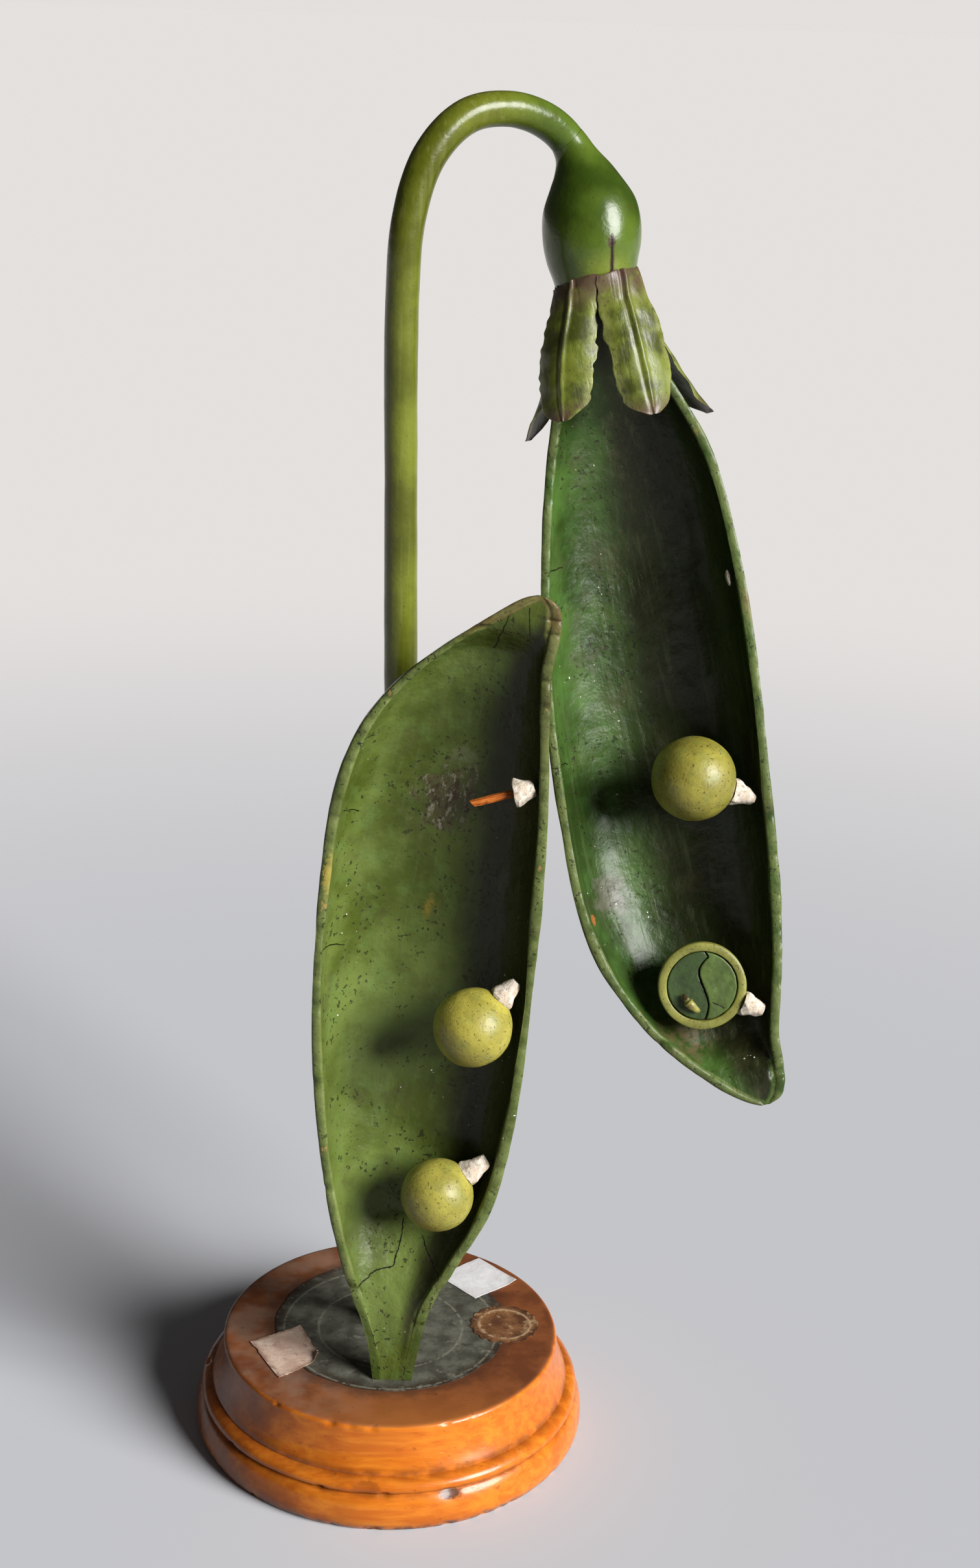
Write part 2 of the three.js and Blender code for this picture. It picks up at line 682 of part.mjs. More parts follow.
function sepalBody([, angle, facing, tip, swing, width]) {
  const around = angle * DEG;
  const face = facing * DEG;
  const start = new THREE.Vector3(Math.sin(around), Math.cos(around), 0);
  start.multiplyScalar(SEPAL_RING).setZ(GAP);
  const end = new THREE.Vector3(...tip);
  const outward = new THREE.Vector3(Math.sin(face), Math.cos(face), 0);
  const sideways = new THREE.Vector3(Math.cos(face), -Math.sin(face), 0);
  const middle = start.clone().lerp(end, 0.5);
  middle.x += swing[0];
  middle.addScaledVector(outward, swing[1]);
  const line = new THREE.QuadraticBezierCurve3(start, middle, end);
  const rows = 9;
  const columns = 6;
  const outer = [];
  const inner = [];
  for (let r = 0; r <= rows; r += 1) {
    const share = r / rows;
    const centre = line.getPoint(share);
    const reach = (width / 2) * sepalWidth(share);
    const outerRow = [];
    const innerRow = [];
    for (let c = 0; c <= columns; c += 1) {
      const across = (c / columns) * 2 - 1;
      const wrap = (reach * across) ** 2 / SEPAL_CURL;
      const point = centre.clone().addScaledVector(sideways, reach * across);
      point.addScaledVector(outward, -wrap);
      outerRow.push(point.clone().addScaledVector(outward, SEPAL_THICKNESS / 2).toArray());
      innerRow.push(point.clone().addScaledVector(outward, -SEPAL_THICKNESS / 2).toArray());
    }
    outer.push(outerRow);
    inner.push(innerRow);
  }
  return thickSheet(outer, inner);
}

// Half width of a sepal as a share of its greatest, from the ring to the tip.
function sepalWidth(share) {
  const places = [0, 0.15, 0.5, 0.8, 0.93, 1];
  const widths = [0.62, 0.82, 1, 0.8, 0.5, 0.12];
  return new THREE.CubicInterpolant(places, widths, 1).evaluate(share)[0];
}

// ---- assembly ------------------------------------------------------------------------------

// Cuts the foot of the leaning valve level, so that it stands flat on the paper disc.
function levelFoot(geometry, group) {
  group.updateMatrix();
  const floor = new THREE.BoxGeometry(80, 80, 20);
  floor.translate(STANDING_FOOT[0], STANDING_FOOT[1], STANDING_FOOT[2] - 10);
  const standing = toSolid(geometry.applyMatrix4(group.matrix)).subtract(toSolid(floor));
  return toGeometry(standing).applyMatrix4(group.matrix.clone().invert());
}

function buildStandingValve() {
  const pod = { group: new THREE.Group(), side: 1, bow: -1, begin: 0 };
  pod.group.position.set(...STANDING_FOOT);
  pod.group.rotation.set(-STANDING_TILT, STANDING_LEAN, 0);
  const valve = levelFoot(valveBody(pod.side, pod.bow, -FOOT_SPARE), pod.group);
  addPiece(pod.group, 'standing_valve', valve, paint.pod);
  addPea(pod, 'pea_standing_upper');
  addPea(pod, 'pea_standing_lower');
  addBareFunicle(pod);
  model.add(pod.group);
}

function buildHangingValve() {
  const pod = { group: new THREE.Group(), side: -1, bow: 1, begin: STALK_IN_CUP };
  pod.group.position.set(...HANGING_RING);
  pod.group.rotation.copy(hangingTurn);
  const valve = addPiece(pod.group, 'hanging_valve', valveBody(pod.side, pod.bow, 0), paint.pod);
  valve.position.set(0, 0, -STALK_IN_CUP);
  addPea(pod, 'pea_hanging_upper');
  addCutPea(pod);
  addSeamScar(pod);
  for (const sepal of SEPALS) {
    addPiece(pod.group, sepal[0], sepalBody(sepal), paint.sepal);
  }
  model.add(pod.group);
}

buildBase();
buildStem();
buildStandingValve();
buildHangingValve();

export default model;
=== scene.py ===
import itertools
import math

import bmesh
import bpy
import numpy as np
from mathutils import Matrix, Vector


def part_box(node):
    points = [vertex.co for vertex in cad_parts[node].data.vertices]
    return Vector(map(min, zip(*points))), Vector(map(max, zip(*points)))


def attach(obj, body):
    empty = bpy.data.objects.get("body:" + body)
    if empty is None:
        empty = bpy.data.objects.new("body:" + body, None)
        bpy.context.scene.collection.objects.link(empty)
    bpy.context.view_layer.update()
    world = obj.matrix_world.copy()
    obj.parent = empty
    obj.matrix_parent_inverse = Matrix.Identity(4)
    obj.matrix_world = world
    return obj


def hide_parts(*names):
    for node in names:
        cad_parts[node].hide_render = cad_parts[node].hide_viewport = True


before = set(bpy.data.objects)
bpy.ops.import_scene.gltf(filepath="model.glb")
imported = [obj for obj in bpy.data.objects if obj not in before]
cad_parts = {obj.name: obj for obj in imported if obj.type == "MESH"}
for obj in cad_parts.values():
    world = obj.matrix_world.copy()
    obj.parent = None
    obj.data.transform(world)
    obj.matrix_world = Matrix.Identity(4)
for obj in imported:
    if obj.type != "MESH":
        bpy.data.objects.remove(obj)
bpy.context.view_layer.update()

BODY = "root"
MM = 0.001
DEG = math.pi / 180
GAP = 0.3

# ---- sizes and places of the part, in millimetres ---------------------------------------------

BASE_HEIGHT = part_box("base")[1].z / MM
BASE_RADIUS = 70
TOP_RADIUS = 60
SOCKET_RADIUS = 5.7
SOCKET_FLOOR = 17
# Papers: thickness, the disc's gap for glue, the labels' height and their step off the disc
PAPER = 0.2
DISC_GAP = 0.02
LABEL_LIFT = 0.25
DISC_STEP = 0.16
DISC_HOLE = 6.2
DISC_RADIUS = 42
DISC_RINGS = (26, 38.5)
DISC_CENTRE = (0, 2.5)
SEAL_CENTRE = (41.3, 4)
SEAL_RADIUS = 12.5
SEAL_RING = 9.3
OLD_LABEL = [(-49.6, -12.7), (-37.1, -34.2), (-22.8, -21.5), (-32.7, -1.2)]
WHITE_LABEL = [(15.8, 35.4), (30.3, 20.3), (46, 33.8), (31.3, 48.8)]
DARK_DENT = (24.4, -64.5, 12)
FAINT_DENT = (-4.6, -68.8, 15.6)
# Small knocks sit at these heights, at these distances from the axis
KNOCKS = {0.8: 69.6, 13.5: 67.6, 17.5: 66.8, 34.2: 60.2}
KNOCK_ODDS = [0.55, 0.1, 0.15, 0.2]

STEM_RADIUS = 5.36
SLEEVE_BORE = 2.2
WIRE_RADIUS = 1.3
NECK = 0.915
WIRE_END = 0.965
RING_RADIUS = 12.9
CUP_RADIUS = 10.9
CUP_DEPTH = 14
BULB_BEGINS = 18
BULB_ENDS = 46
STEM_LINE = [
    (0, 0, 17.3),
    (0.6, 0, 110),
    (-0.2, 0, 230),
    (-2.3, 0, 340),
    (-3.1, 0, 402),
    (-1.7, 0.9, 426),
    (4.2, 4.4, 445),
    (15, 11, 456.4),
    (27.9, 18.5, 458.7),
    (39, 25, 455.4),
    (46.2, 28.8, 449.5),
    (50.9, 28, 440.7),
    (54.1, 25.6, 428.5),
    (57.14, 20.16, 407.75),
]

# Along the pod, edge on the back seam, edge on the seed seam, depth of the outer wall
POD = [
    (0, -6.9, 6.4, 4.6),
    (15, -11.5, 6.9, 6.6),
    (30, -17.8, 8.7, 9.6),
    (48, -24.6, 15.6, 14.6),
    (71, -32.6, 23, 20),
    (101, -40.6, 25.2, 24.5),
    (140, -47.8, 23.8, 27),
    (180, -51.4, 19.8, 27),
    (211, -51.7, 16.2, 25.5),
    (232, -47.6, 12.8, 22),
    (251, -38.4, 8.9, 17),
    (263, -29.2, 6.6, 13),
    (273, -19.6, 6.4, 9),
    (280, -12, 5.4, 6.2),
    (284, -6.3, 2.8, 3.8),
    (285.2, -3.6, -0.2, 2.2),
]
POD_LENGTH = 285.2
WALL = 3.2
ROUNDNESS = 0.85
BOW_BACK = 2.8
BOW_SEED = 1.8
BOW_RISE = (5, 55)
BOW_FALL = 235
FOOT_HOLLOW = 0.06
HOLLOW_OPENS = (10, 60)
HOLLOW_CLOSES = (262, 278)
STALK_IN_CUP = 11.7
# Points of a valve's mesh: rows along it, each wall of a section, each rim between the walls
VALVE_ROWS = 300
VALVE_ARC = 84
VALVE_LIP = 6

# Where the standing valve's foot is, and how both valves turn from upright, in degrees
FOOT_X = 2.5
FOOT_Y = -33
FOOT_GAP = 0.06
STANDING_TILT = -0.3
STANDING_LEAN = 8.52
HANGING_TILT = 168
HANGING_LEAN = 14.57

STANDING = (
    Matrix.Translation((FOOT_X * MM, FOOT_Y * MM, (BASE_HEIGHT + PAPER + FOOT_GAP) * MM))
    @ Matrix.Rotation(STANDING_TILT * DEG, 4, "X")
    @ Matrix.Rotation(STANDING_LEAN * DEG, 4, "Y")
)
HANGING = (
    Matrix.Translation(Vector(STEM_LINE[-1]) * MM)
    @ Matrix.Rotation(HANGING_TILT * DEG, 4, "X")
    @ Matrix.Rotation(HANGING_LEAN * DEG, 4, "Y")
)

# Seeds: pod, along it, across it, radius, where along the seam the funicle ends, its depth
PEAS = {
    "hanging_upper": ("hanging", 173.6, -2.7, 13.9, 11, 4),
    "standing_upper": ("standing", 138.3, 3.3, 13.1, 17, 4),
    "standing_lower": ("standing", 74.9, 2.6, 12.3, 14, 4),
    "cut": ("hanging", 241.3, -14.2, 14.6, 13, 2.5),
}
PODS = {"standing": (STANDING, 1, -1, 0), "hanging": (HANGING, -1, 1, STALK_IN_CUP)}
COAT = 2.9
CUT_HEIGHT = 1
PEG_RADIUS = 1
PEG_BORE = 1.3
PEG_IN_PEA = 6
FUNICLE_LIP = 4.5
FUNICLE_END = 2.3
SEAM_CLEAR = 2.4
# At the seam a funicle is solid past its peg hole, and the peg stops a little before that
FUNICLE_SOLID = 2
PEG_SHORT = 2.3

# The broken funicle: where it ends on the seam, then its open end's place in the pod
BROKEN_END = 222.6
BROKEN_DEPTH = 3.4
BROKEN_ACROSS = 2.2
BROKEN_ALONG = 220
BROKEN_BEHIND = 3
BROKEN_SOLID = 1.5
# How far its bare peg stands out of the open end, and how far short of the seam it stops
BARE_PEG = 14
BARE_PEG_SHORT = 1.8

# What is left of the funicle that broke away
SCAR_ALONG = 112.5
SCAR_FROM_WALL = 1.8
SCAR_DEPTH = 3
SCAR_SIZE = (0.9, 1.2, 2.7)

SEPAL_ATTACH = 11.7
SEPAL_CURL = 26
SEPAL_THICK = 0.6
SEPAL_ROWS = 84
SEPAL_COLUMNS = 46
SEPAL_LIP = 3
# Share of the full width at shares of the way to the tip
SEPAL_AT = [0, 0.15, 0.5, 0.8, 0.93, 1]
SEPAL_WIDE = [0.92, 0.9, 1, 0.92, 0.68, 0.2]
# Sepals: angle round the ring, angle the blade faces, tip, swing of the middle, width
SEPALS = {
    "sepal_front_left": (-37, -24, (-20, 13, 41), (-3, 2.5), 18.5),
    "sepal_front_right": (37, 22, (8, 14.5, 45), (0, 4), 19),
    "sepal_right": (108, 104, (27.5, -8.5, 48), (-2, -3), 17),
    "sepal_back": (180, 180, (-2, -25, 46), (0, 1.2), 18),
    "sepal_left": (-108, -104, (-32, -9, 44), (2, -3), 17),
}


# ---- curves and noise ------------------------------------------------------------------------


def smoothstep(value, low, high):
    share = np.clip((np.asarray(value, float) - low) / (high - low), 0, 1)
    return share * share * (3 - 2 * share)


def cubic(knots, rows, at):
    """Smooth curve through a row of values at each knot, level past both ends."""
    knots = np.asarray(knots, float)
    rows = np.asarray(rows, float).reshape(len(knots), -1)
    at = np.clip(np.atleast_1d(np.asarray(at, float)), knots[0], knots[-1])
    right = np.clip(np.searchsorted(knots, at, "right"), 1, len(knots) - 1)
    left = right - 1
    before = np.where(left == 0, right, left - 1)
    after = np.where(right == len(knots) - 1, left, np.minimum(right + 1, len(knots) - 1))
    half_step = (knots[right] - knots[left]) / 2
    w0 = half_step / (knots[left] - knots[before])
    w1 = half_step / (knots[after] - knots[right])
    p = (at - knots[left]) / (knots[right] - knots[left])
    shares = [
        -w0 * p**3 + 2 * w0 * p**2 - w0 * p,
        (1 + w0) * p**3 + (-1.5 - 2 * w0) * p**2 + (-0.5 + w0) * p + 1,
        (-1 - w1) * p**3 + (1.5 + w1) * p**2 + 0.5 * p,
        w1 * p**3 - w1 * p**2,
    ]
    picks = [before, left, right, after]
    return sum(s[:, None] * rows[k] for s, k in zip(shares, picks))


def noise(points, cell, seed=0):
    """Smooth noise from -1 to 1 that changes over about one cell, the same in every run."""
    place = np.asarray(points, float) / cell + 100.5
    base = np.floor(place).astype(np.int64)
    part = place - base
    part = part * part * (3 - 2 * part)
    total = np.zeros(len(place))
    for corner in itertools.product((0, 1), repeat=3):
        spot = base + corner
        mixed = spot[:, 0] * 73856093 ^ spot[:, 1] * 19349663 ^ spot[:, 2] * 83492791
        mixed = (mixed + seed * 7919) & 0x7FFFFFFF
        mixed = (mixed ^ (mixed >> 13)) * 60493 & 0x7FFFFFFF
        mixed = (mixed ^ (mixed >> 11)) * 51787 & 0x7FFFFFFF
        weight = np.prod(np.where(corner, part, 1 - part), axis=1)
        total += weight * (mixed / 0x3FFFFFFF - 1)
    return total


def full_turn(count):
    """Evenly spaced angles round a circle."""
    return np.arange(count) / count * 2 * math.pi


def circle(angle, radius, height, centre=(0, 0)):
    """Points at each angle round +Z. radius and height may differ from angle to angle."""
    x = centre[0] + radius * np.cos(angle)
    y = centre[1] + radius * np.sin(angle)
    return np.stack([x, y, height + 0 * angle], 1)


def bezier(a, b, c, d, steps):
    """Points along a cubic curve, without the first."""
    t = np.linspace(0, 1, steps + 1)[1:, None]
    a, b, c, d = (np.asarray(p, float) for p in (a, b, c, d))
    return a * (1 - t) ** 3 + 3 * b * t * (1 - t) ** 2 + 3 * c * t**2 * (1 - t) + d * t**3


def catmull_rom(points, steps):
    """Points along a centripetal Catmull-Rom curve."""
    line = [np.asarray(p, float) for p in points]
    line = [2 * line[0] - line[1], *line, 2 * line[-1] - line[-2]]
    t = np.linspace(0, 1, steps, endpoint=False)[:, None]
    made = []
    for a, b, c, d in zip(line, line[1:], line[2:], line[3:]):
        s0, s1, s2 = (math.sqrt(np.linalg.norm(q - p)) for p, q in ((a, b), (b, c), (c, d)))
        out = ((b - a) / s0 - (c - a) / (s0 + s1) + (c - b) / s1) * s1
        into = ((c - b) / s1 - (d - b) / (s1 + s2) + (d - c) / s2) * s1
        bend = 3 * (c - b) - 2 * out - into
        made.append(b + out * t + bend * t**2 + (2 * (b - c) + out + into) * t**3)
    return np.vstack([*made, line[-2][None]])


# ---- closed meshes ---------------------------------------------------------------------------


def make_piece(name, points, faces, matrix=None):
    """A smooth closed mesh from points in millimetres, with its faces turned outwards."""
    mesh = bpy.data.meshes.new(name)
    mesh.from_pydata((np.asarray(points) * MM).tolist(), [], faces)
    tidy = bmesh.new()
    tidy.from_mesh(mesh)
    bmesh.ops.remove_doubles(tidy, verts=tidy.verts, dist=1e-7)
    bmesh.ops.recalc_face_normals(tidy, faces=tidy.faces)
    tidy.to_mesh(mesh)
    tidy.free()
    mesh.shade_smooth()
    piece = bpy.data.objects.new(name, mesh)
    bpy.context.scene.collection.objects.link(piece)
    if matrix is not None:
        piece.matrix_world = matrix
    return piece


def keep_edges(piece, degrees):
    """Leaves edges sharper than this crisp under smooth shading."""
    piece.data.set_sharp_from_angle(angle=degrees * DEG)


def give(piece, look, slot, *nodes):
    """Gives a piece its finish and its body, and hides the CAD parts that it stands for."""
    settle(piece)
    piece.data.materials.clear()
    piece.data.materials.append(look)
    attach(piece, BODY)
    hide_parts(*nodes)


def settle(piece):
    """Moves a piece's place into its mesh. Its own coordinates stay with it for the materials."""
    own = coords(piece) * MM
    layer = piece.data.attributes.new("own", "FLOAT_VECTOR", "POINT")
    layer.data.foreach_set("vector", own.astype(np.float32).ravel())
    piece.data.transform(piece.matrix_world)
    piece.matrix_world = Matrix.Identity(4)


def mark(piece, name, values):
    """Stores one number per point for the materials."""
    layer = piece.data.attributes.new(name, "FLOAT", "POINT")
    layer.data.foreach_set("value", np.asarray(values, np.float32))


def coords(piece):
    """A piece's own points in millimetres."""
    flat = np.zeros(len(piece.data.vertices) * 3)
    piece.data.vertices.foreach_get("co", flat)
    return flat.reshape(-1, 3) / MM


def normals(piece):
    flat = np.zeros(len(piece.data.vertices) * 3)
    piece.data.vertices.foreach_get("normal", flat)
    return flat.reshape(-1, 3)


def push(piece, amounts):
    """Moves each point along its normal by an amount in millimetres."""
    moved = coords(piece) + normals(piece) * np.asarray(amounts)[:, None]
    piece.data.vertices.foreach_set("co", (moved * MM).ravel())
    piece.data.update()


def lumpy(piece, *layers, seed=0):
    """Uneven, hand-made surface: each layer is a cell size and a height."""
    points = coords(piece)
    push(piece, sum(noise(points, cell, seed + k) * high for k, (cell, high) in enumerate(layers)))


def loop_faces(rows, count, closed=False):
    """Quads between rings of points. closed joins the last ring to the first."""
    made = []
    for r in range(rows if closed else rows - 1):
        a = r * count
        b = (r + 1) % rows * count
        for i in range(count):
            j = (i + 1) % count
            made.append((a + i, a + j, b + j, b + i))
    return made


def capped(rows, count):
    """Rings of points closed by a flat face at each end."""
    last = (rows - 1) * count
    ends = [tuple(range(count))[::-1], tuple(range(last, last + count))]
    return loop_faces(rows, count) + ends


def sheet_faces(rows, side, lip):
    """Rings that each run over a sheet's outer side, a lip, its inner side and a lip."""
    count = 2 * (side + lip)
    made = loop_faces(rows, count)
    for first in (0, (rows - 1) * count):
        for i in range(side - 1):
            back = 2 * side + lip - 1 - i
            made.append((first + i, first + i + 1, first + back - 1, first + back))
        if lip:
            made.append(tuple(first + k for k in range(side - 1, side + lip + 1)))
            made.append((*(first + k for k in range(2 * side + lip - 1, count)), first))
    return made


def revolve(profile, segments):
    """Rings of points about +Z from (radius, height) points."""
    angle = full_turn(segments)
    return np.vstack([circle(angle, r, z) for r, z in profile])


def turned(name, profile, segments, matrix=None):
    """A body of revolution whose profile starts and ends on the axis."""
    points = revolve(profile, segments)
    return make_piece(name, points, loop_faces(len(profile), segments), matrix)


def refined(profile, step):
    """The same outline with points no further apart than a step."""
    made = [profile[0]]
    for a, b in zip(profile, profile[1:]):
        parts = max(1, math.ceil(math.dist(a, b) / step))
        for k in range(1, parts + 1):
            made.append(tuple(p + (q - p) * k / parts for p, q in zip(a, b)))
    return made


def remeshed(piece, voxel, smoothing):
    """Rounds a piece's edges by rebuilding it from small cells."""
    remesh = piece.modifiers.new("cells", "REMESH")
    remesh.mode = "VOXEL"
    remesh.voxel_size = voxel * MM
    smooth = piece.modifiers.new("soften", "SMOOTH")
    smooth.factor = 0.5
    smooth.iterations = smoothing
    apply_modifiers(piece)
    piece.data.shade_smooth()


def apply_modifiers(piece):
    bpy.context.view_layer.update()
    seen = piece.evaluated_get(bpy.context.evaluated_depsgraph_get())
    mesh = bpy.data.meshes.new_from_object(seen)
    piece.modifiers.clear()
    piece.data = mesh


# ---- materials -------------------------------------------------------------------------------


def rgb(red, green, blue):
    """A colour from screen values of 0 to 255."""
    parts = [c / 255 for c in (red, green, blue)]
    parts = [c / 12.92 if c <= 0.04045 else ((c + 0.055) / 1.055) ** 2.4 for c in parts]
    return (*parts, 1.0)


class Look:
    """A procedural material put together from small steps. Sizes are in millimetres."""

    def __init__(self, name, specular=0.5, coat=0.0, coat_roughness=0.1):
        self.material = bpy.data.materials.new(name)
        self.material.use_nodes = True
        self.tree = self.material.node_tree
        self.shader = self.tree.nodes["Principled BSDF"]
        self.shader.inputs["Specular IOR Level"].default_value = specular
        self.shader.inputs["Coat Weight"].default_value = coat
        self.shader.inputs["Coat Roughness"].default_value = coat_roughness
        self.place = self.add("ShaderNodeAttribute", attribute_name="own").outputs["Vector"]
        self.drawn = 0
        self.colour = None

    def add(self, kind, **settings):
        node = self.tree.nodes.new(kind)
        for key, value in settings.items():
            setattr(node, key, value)
        return node

    def feed(self, socket, value):
        if isinstance(value, bpy.types.NodeSocket):
            self.tree.links.new(value, socket)
        else:
            socket.default_value = value

    def calc(self, kind, a, b=0.0, clamp=False):
        node = self.add("ShaderNodeMath", operation=kind, use_clamp=clamp)
        self.feed(node.inputs[0], a)
        self.feed(node.inputs[1], b)
        return node.outputs[0]

    def times(self, a, b):
        return self.calc("MULTIPLY", a, b)

    def plus(self, a, b):
        return self.calc("ADD", a, b)

    def most(self, *values):
        made = values[0]
        for value in values[1:]:
            made = self.calc("MAXIMUM", made, value)
        return made

    def vector(self, kind, a, b=(0, 0, 0)):
        node = self.add("ShaderNodeVectorMath", operation=kind)
        self.feed(node.inputs[0], a)
        self.feed(node.inputs[1], b)
        return node.outputs["Value" if kind in ("LENGTH", "DOT_PRODUCT") else 0]

    def step(self, value, low, high):
        """0 at low, 1 at high, with a smooth rise between them."""
        node = self.add("ShaderNodeMapRange", interpolation_type="SMOOTHSTEP")
        self.feed(node.inputs["Value"], value)
        node.inputs["From Min"].default_value = min(low, high)
        node.inputs["From Max"].default_value = max(low, high)
        if low < high:
            return node.outputs[0]
        return self.calc("SUBTRACT", 1.0, node.outputs[0])

    def noise(self, size, detail=2.0, rough=0.55, stretch=(1, 1, 1), warp=0.0, colour=False):
        self.drawn += 1
        shift = self.add("ShaderNodeMapping")
        self.feed(shift.inputs["Vector"], self.place)
        shift.inputs["Scale"].default_value = stretch
        shift.inputs["Location"].default_value = tuple(self.drawn * k for k in (1.7, 0.9, 2.3))
        node = self.add("ShaderNodeTexNoise")
        self.feed(node.inputs["Vector"], shift.outputs[0])
        node.inputs["Scale"].default_value = 1 / (size * MM)
        node.inputs["Detail"].default_value = detail
        node.inputs["Roughness"].default_value = rough
        node.inputs["Distortion"].default_value = warp
        return node.outputs["Color" if colour else "Fac"]

    def patch(self, size, low, high, **how):
        """Ragged patches where noise rises from low to high."""
        return self.step(self.noise(size, **how), low, high)

    def mix(self, share, a, b):
        node = self.add("ShaderNodeMix", data_type="RGBA")
        self.feed(node.inputs[0], share)
        self.feed(node.inputs[6], a)
        self.feed(node.inputs[7], b)
        return node.outputs[2]

    def lay(self, share, tone, amount=1.0):
        """Lays a tone over the colour made so far, where share is above 0."""
        self.colour = self.mix(self.times(share, amount), self.colour, tone)

    def total(self, *parts, level=0.0):
        """A level and the parts, each a value and its amount, added up."""
        made = level
        for value, amount in parts:
            made = self.plus(made, self.times(value, amount))
        return made

    def attribute(self, name):
        return self.add("ShaderNodeAttribute", attribute_name=name).outputs["Fac"]

    def axis(self, name):
        """One coordinate of the object, in millimetres."""
        split = self.add("ShaderNodeSeparateXYZ")
        self.feed(split.inputs[0], self.place)
        return self.times(split.outputs[name], 1 / MM)

    def spot(self, centre, reach, ragged=0.5, soft=0.35, grain=0.45):
        """A ragged patch round a point. reach is its half size along x, y and z."""
        offset = self.vector("SUBTRACT", self.place, tuple(c * MM for c in centre))
        scaled = self.vector("MULTIPLY", offset, tuple(1 / (r * MM) for r in reach))
        distance = self.vector("LENGTH", scaled)
        torn = self.calc("SUBTRACT", self.noise(min(reach) * grain, 4, 0.65), 0.5)
        return self.step(self.plus(distance, self.times(torn, ragged * 2)), 1, 1 - soft)

    def crack(self, points, width, across=(1, 0, 1), wander=1.2):
        """A hairline along points. across leaves out a coordinate that doesn't matter."""
        bent = self.noise(4, 3, 0.6, colour=True)
        bent = self.vector("SUBTRACT", bent, (0.5, 0.5, 0.5))
        bent = self.vector("MULTIPLY", bent, (wander * 2 * MM,) * 3)
        place = self.vector("MULTIPLY", self.vector("ADD", self.place, bent), across)
        nearest = 1.0
        for a, b in zip(points, points[1:]):
            a = Vector([p * q * MM for p, q in zip(a, across)])
            way = Vector([p * q * MM for p, q in zip(b, across)]) - a
            from_a = self.vector("SUBTRACT", place, tuple(a))
            share = self.vector("DOT_PRODUCT", from_a, tuple(way / way.length_squared))
            share = self.calc("ADD", share, 0.0, clamp=True)
            scale = self.add("ShaderNodeVectorMath", operation="SCALE")
            scale.inputs[0].default_value = tuple(way)
            self.feed(scale.inputs["Scale"], share)
            gone = self.vector("LENGTH", self.vector("SUBTRACT", from_a, scale.outputs[0]))
            nearest = self.calc("MINIMUM", gone, nearest)
        return self.step(nearest, width * MM, width * 0.35 * MM)

    def done(self, roughness, height=None):
        """Connects the shader. height is relief in millimetres."""
        self.feed(self.shader.inputs["Base Color"], self.colour)
        self.feed(self.shader.inputs["Roughness"], roughness)
        if height is not None:
            bump = self.add("ShaderNodeBump")
            bump.inputs["Distance"].default_value = MM
            self.feed(bump.inputs["Height"], height)
            self.feed(self.shader.inputs["Normal"], bump.outputs[0])
        return self.material


BROWN = rgb(74, 52, 32)
DARK = rgb(24, 20, 12)
TAN = rgb(168, 138, 84)
WHITE = rgb(226, 220, 206)


def leaf_skin(look, shade, tint):
    """The pod's blotchy green, with cooler patches."""
    green = look.mix(look.patch(30, 0.36, 0.66, detail=3), shade, tint)
    cool = look.times(look.patch(7, 0.48, 0.72, detail=4), 0.4)
    return look.mix(cool, green, tuple(c * k for c, k in zip(tint, (0.86, 1.04, 1.2, 1))))


def pod_look(name, shade, tint, marks, wear, grime):
    """Painted papier-mache of a valve: dusty streaks, pits, worn rims, its own marks, and painted
    shadow with some dark grime on the seed side of its hollow.
    """
    look = Look(name, specular=0.22, coat=0.15, coat_roughness=0.16)
    rim = look.attribute("rim")
    inside = look.attribute("inside")
    look.colour = leaf_skin(look, shade, tint)
    outside = look.calc("SUBTRACT", 1.0, inside)
    look.lay(outside, rgb(40, 56, 20), 0.5)
    # Painted shadow, partly dark grime: the hollow is laid near black from part way across towards
    # its seed side, away from the rims.
    begins, ends, strength = grime
    deep = look.times(inside, look.step(look.attribute("seedward"), begins, ends))
    deep = look.times(deep, look.step(rim, 0.5, 0.0))
    look.lay(deep, rgb(26, 22, 10), strength)
    streaks = look.patch(2.6, 0.5, 0.72, detail=4, stretch=(1, 1, 0.09))
    look.lay(streaks, rgb(120, 134, 92), 0.12)
    dirt = look.patch(13, 0.52, 0.7, detail=5, rough=0.68)
    look.lay(dirt, rgb(62, 58, 30), 0.4)
    cracks = marks(look, inside, rim)
    worn = look.times(look.step(rim, 0.35, 0.95), look.patch(9, 0.3, 0.6, detail=4))
    look.lay(worn, rgb(124, 134, 78), 0.5)
    bare = look.patch(3.4, 0.66, 0.71, detail=4, stretch=(1, 1, 0.35))
    bare = look.times(look.step(rim, 0.6, 1), look.times(bare, wear))
    look.lay(bare, TAN)
    nicks = look.patch(1.5, 0.68, 0.72, detail=2, stretch=(1, 1, 1.6))
    nicks = look.times(look.step(rim, 0.5, 0.9), nicks)
    look.lay(nicks, DARK, 0.7)
    pits = look.times(look.patch(1.7, 0.62, 0.66, detail=2), look.patch(17, 0.44, 0.56, detail=2))
    look.lay(pits, rgb(36, 34, 18), 0.75)
    specks = look.patch(1.0, 0.7, 0.74, detail=1)
    look.lay(specks, BROWN, 0.5)
    chips = look.times(look.patch(1.5, 0.77, 0.79, detail=1), look.patch(30, 0.5, 0.6))
    look.lay(chips, WHITE)
    height = look.total(
        (look.noise(6.5, 3, 0.55), 0.75),
        (look.noise(2.4, 3, 0.5), 0.16),
        (streaks, 0.06),
        (look.noise(0.7, 2), 0.03),
        (look.most(chips, bare, pits), -0.16),
        (cracks, -0.35),
    )
    rough = look.total((look.noise(11, 3), 0.26), (look.most(worn, dirt), 0.14), level=0.26)
    return look.done(rough, height)


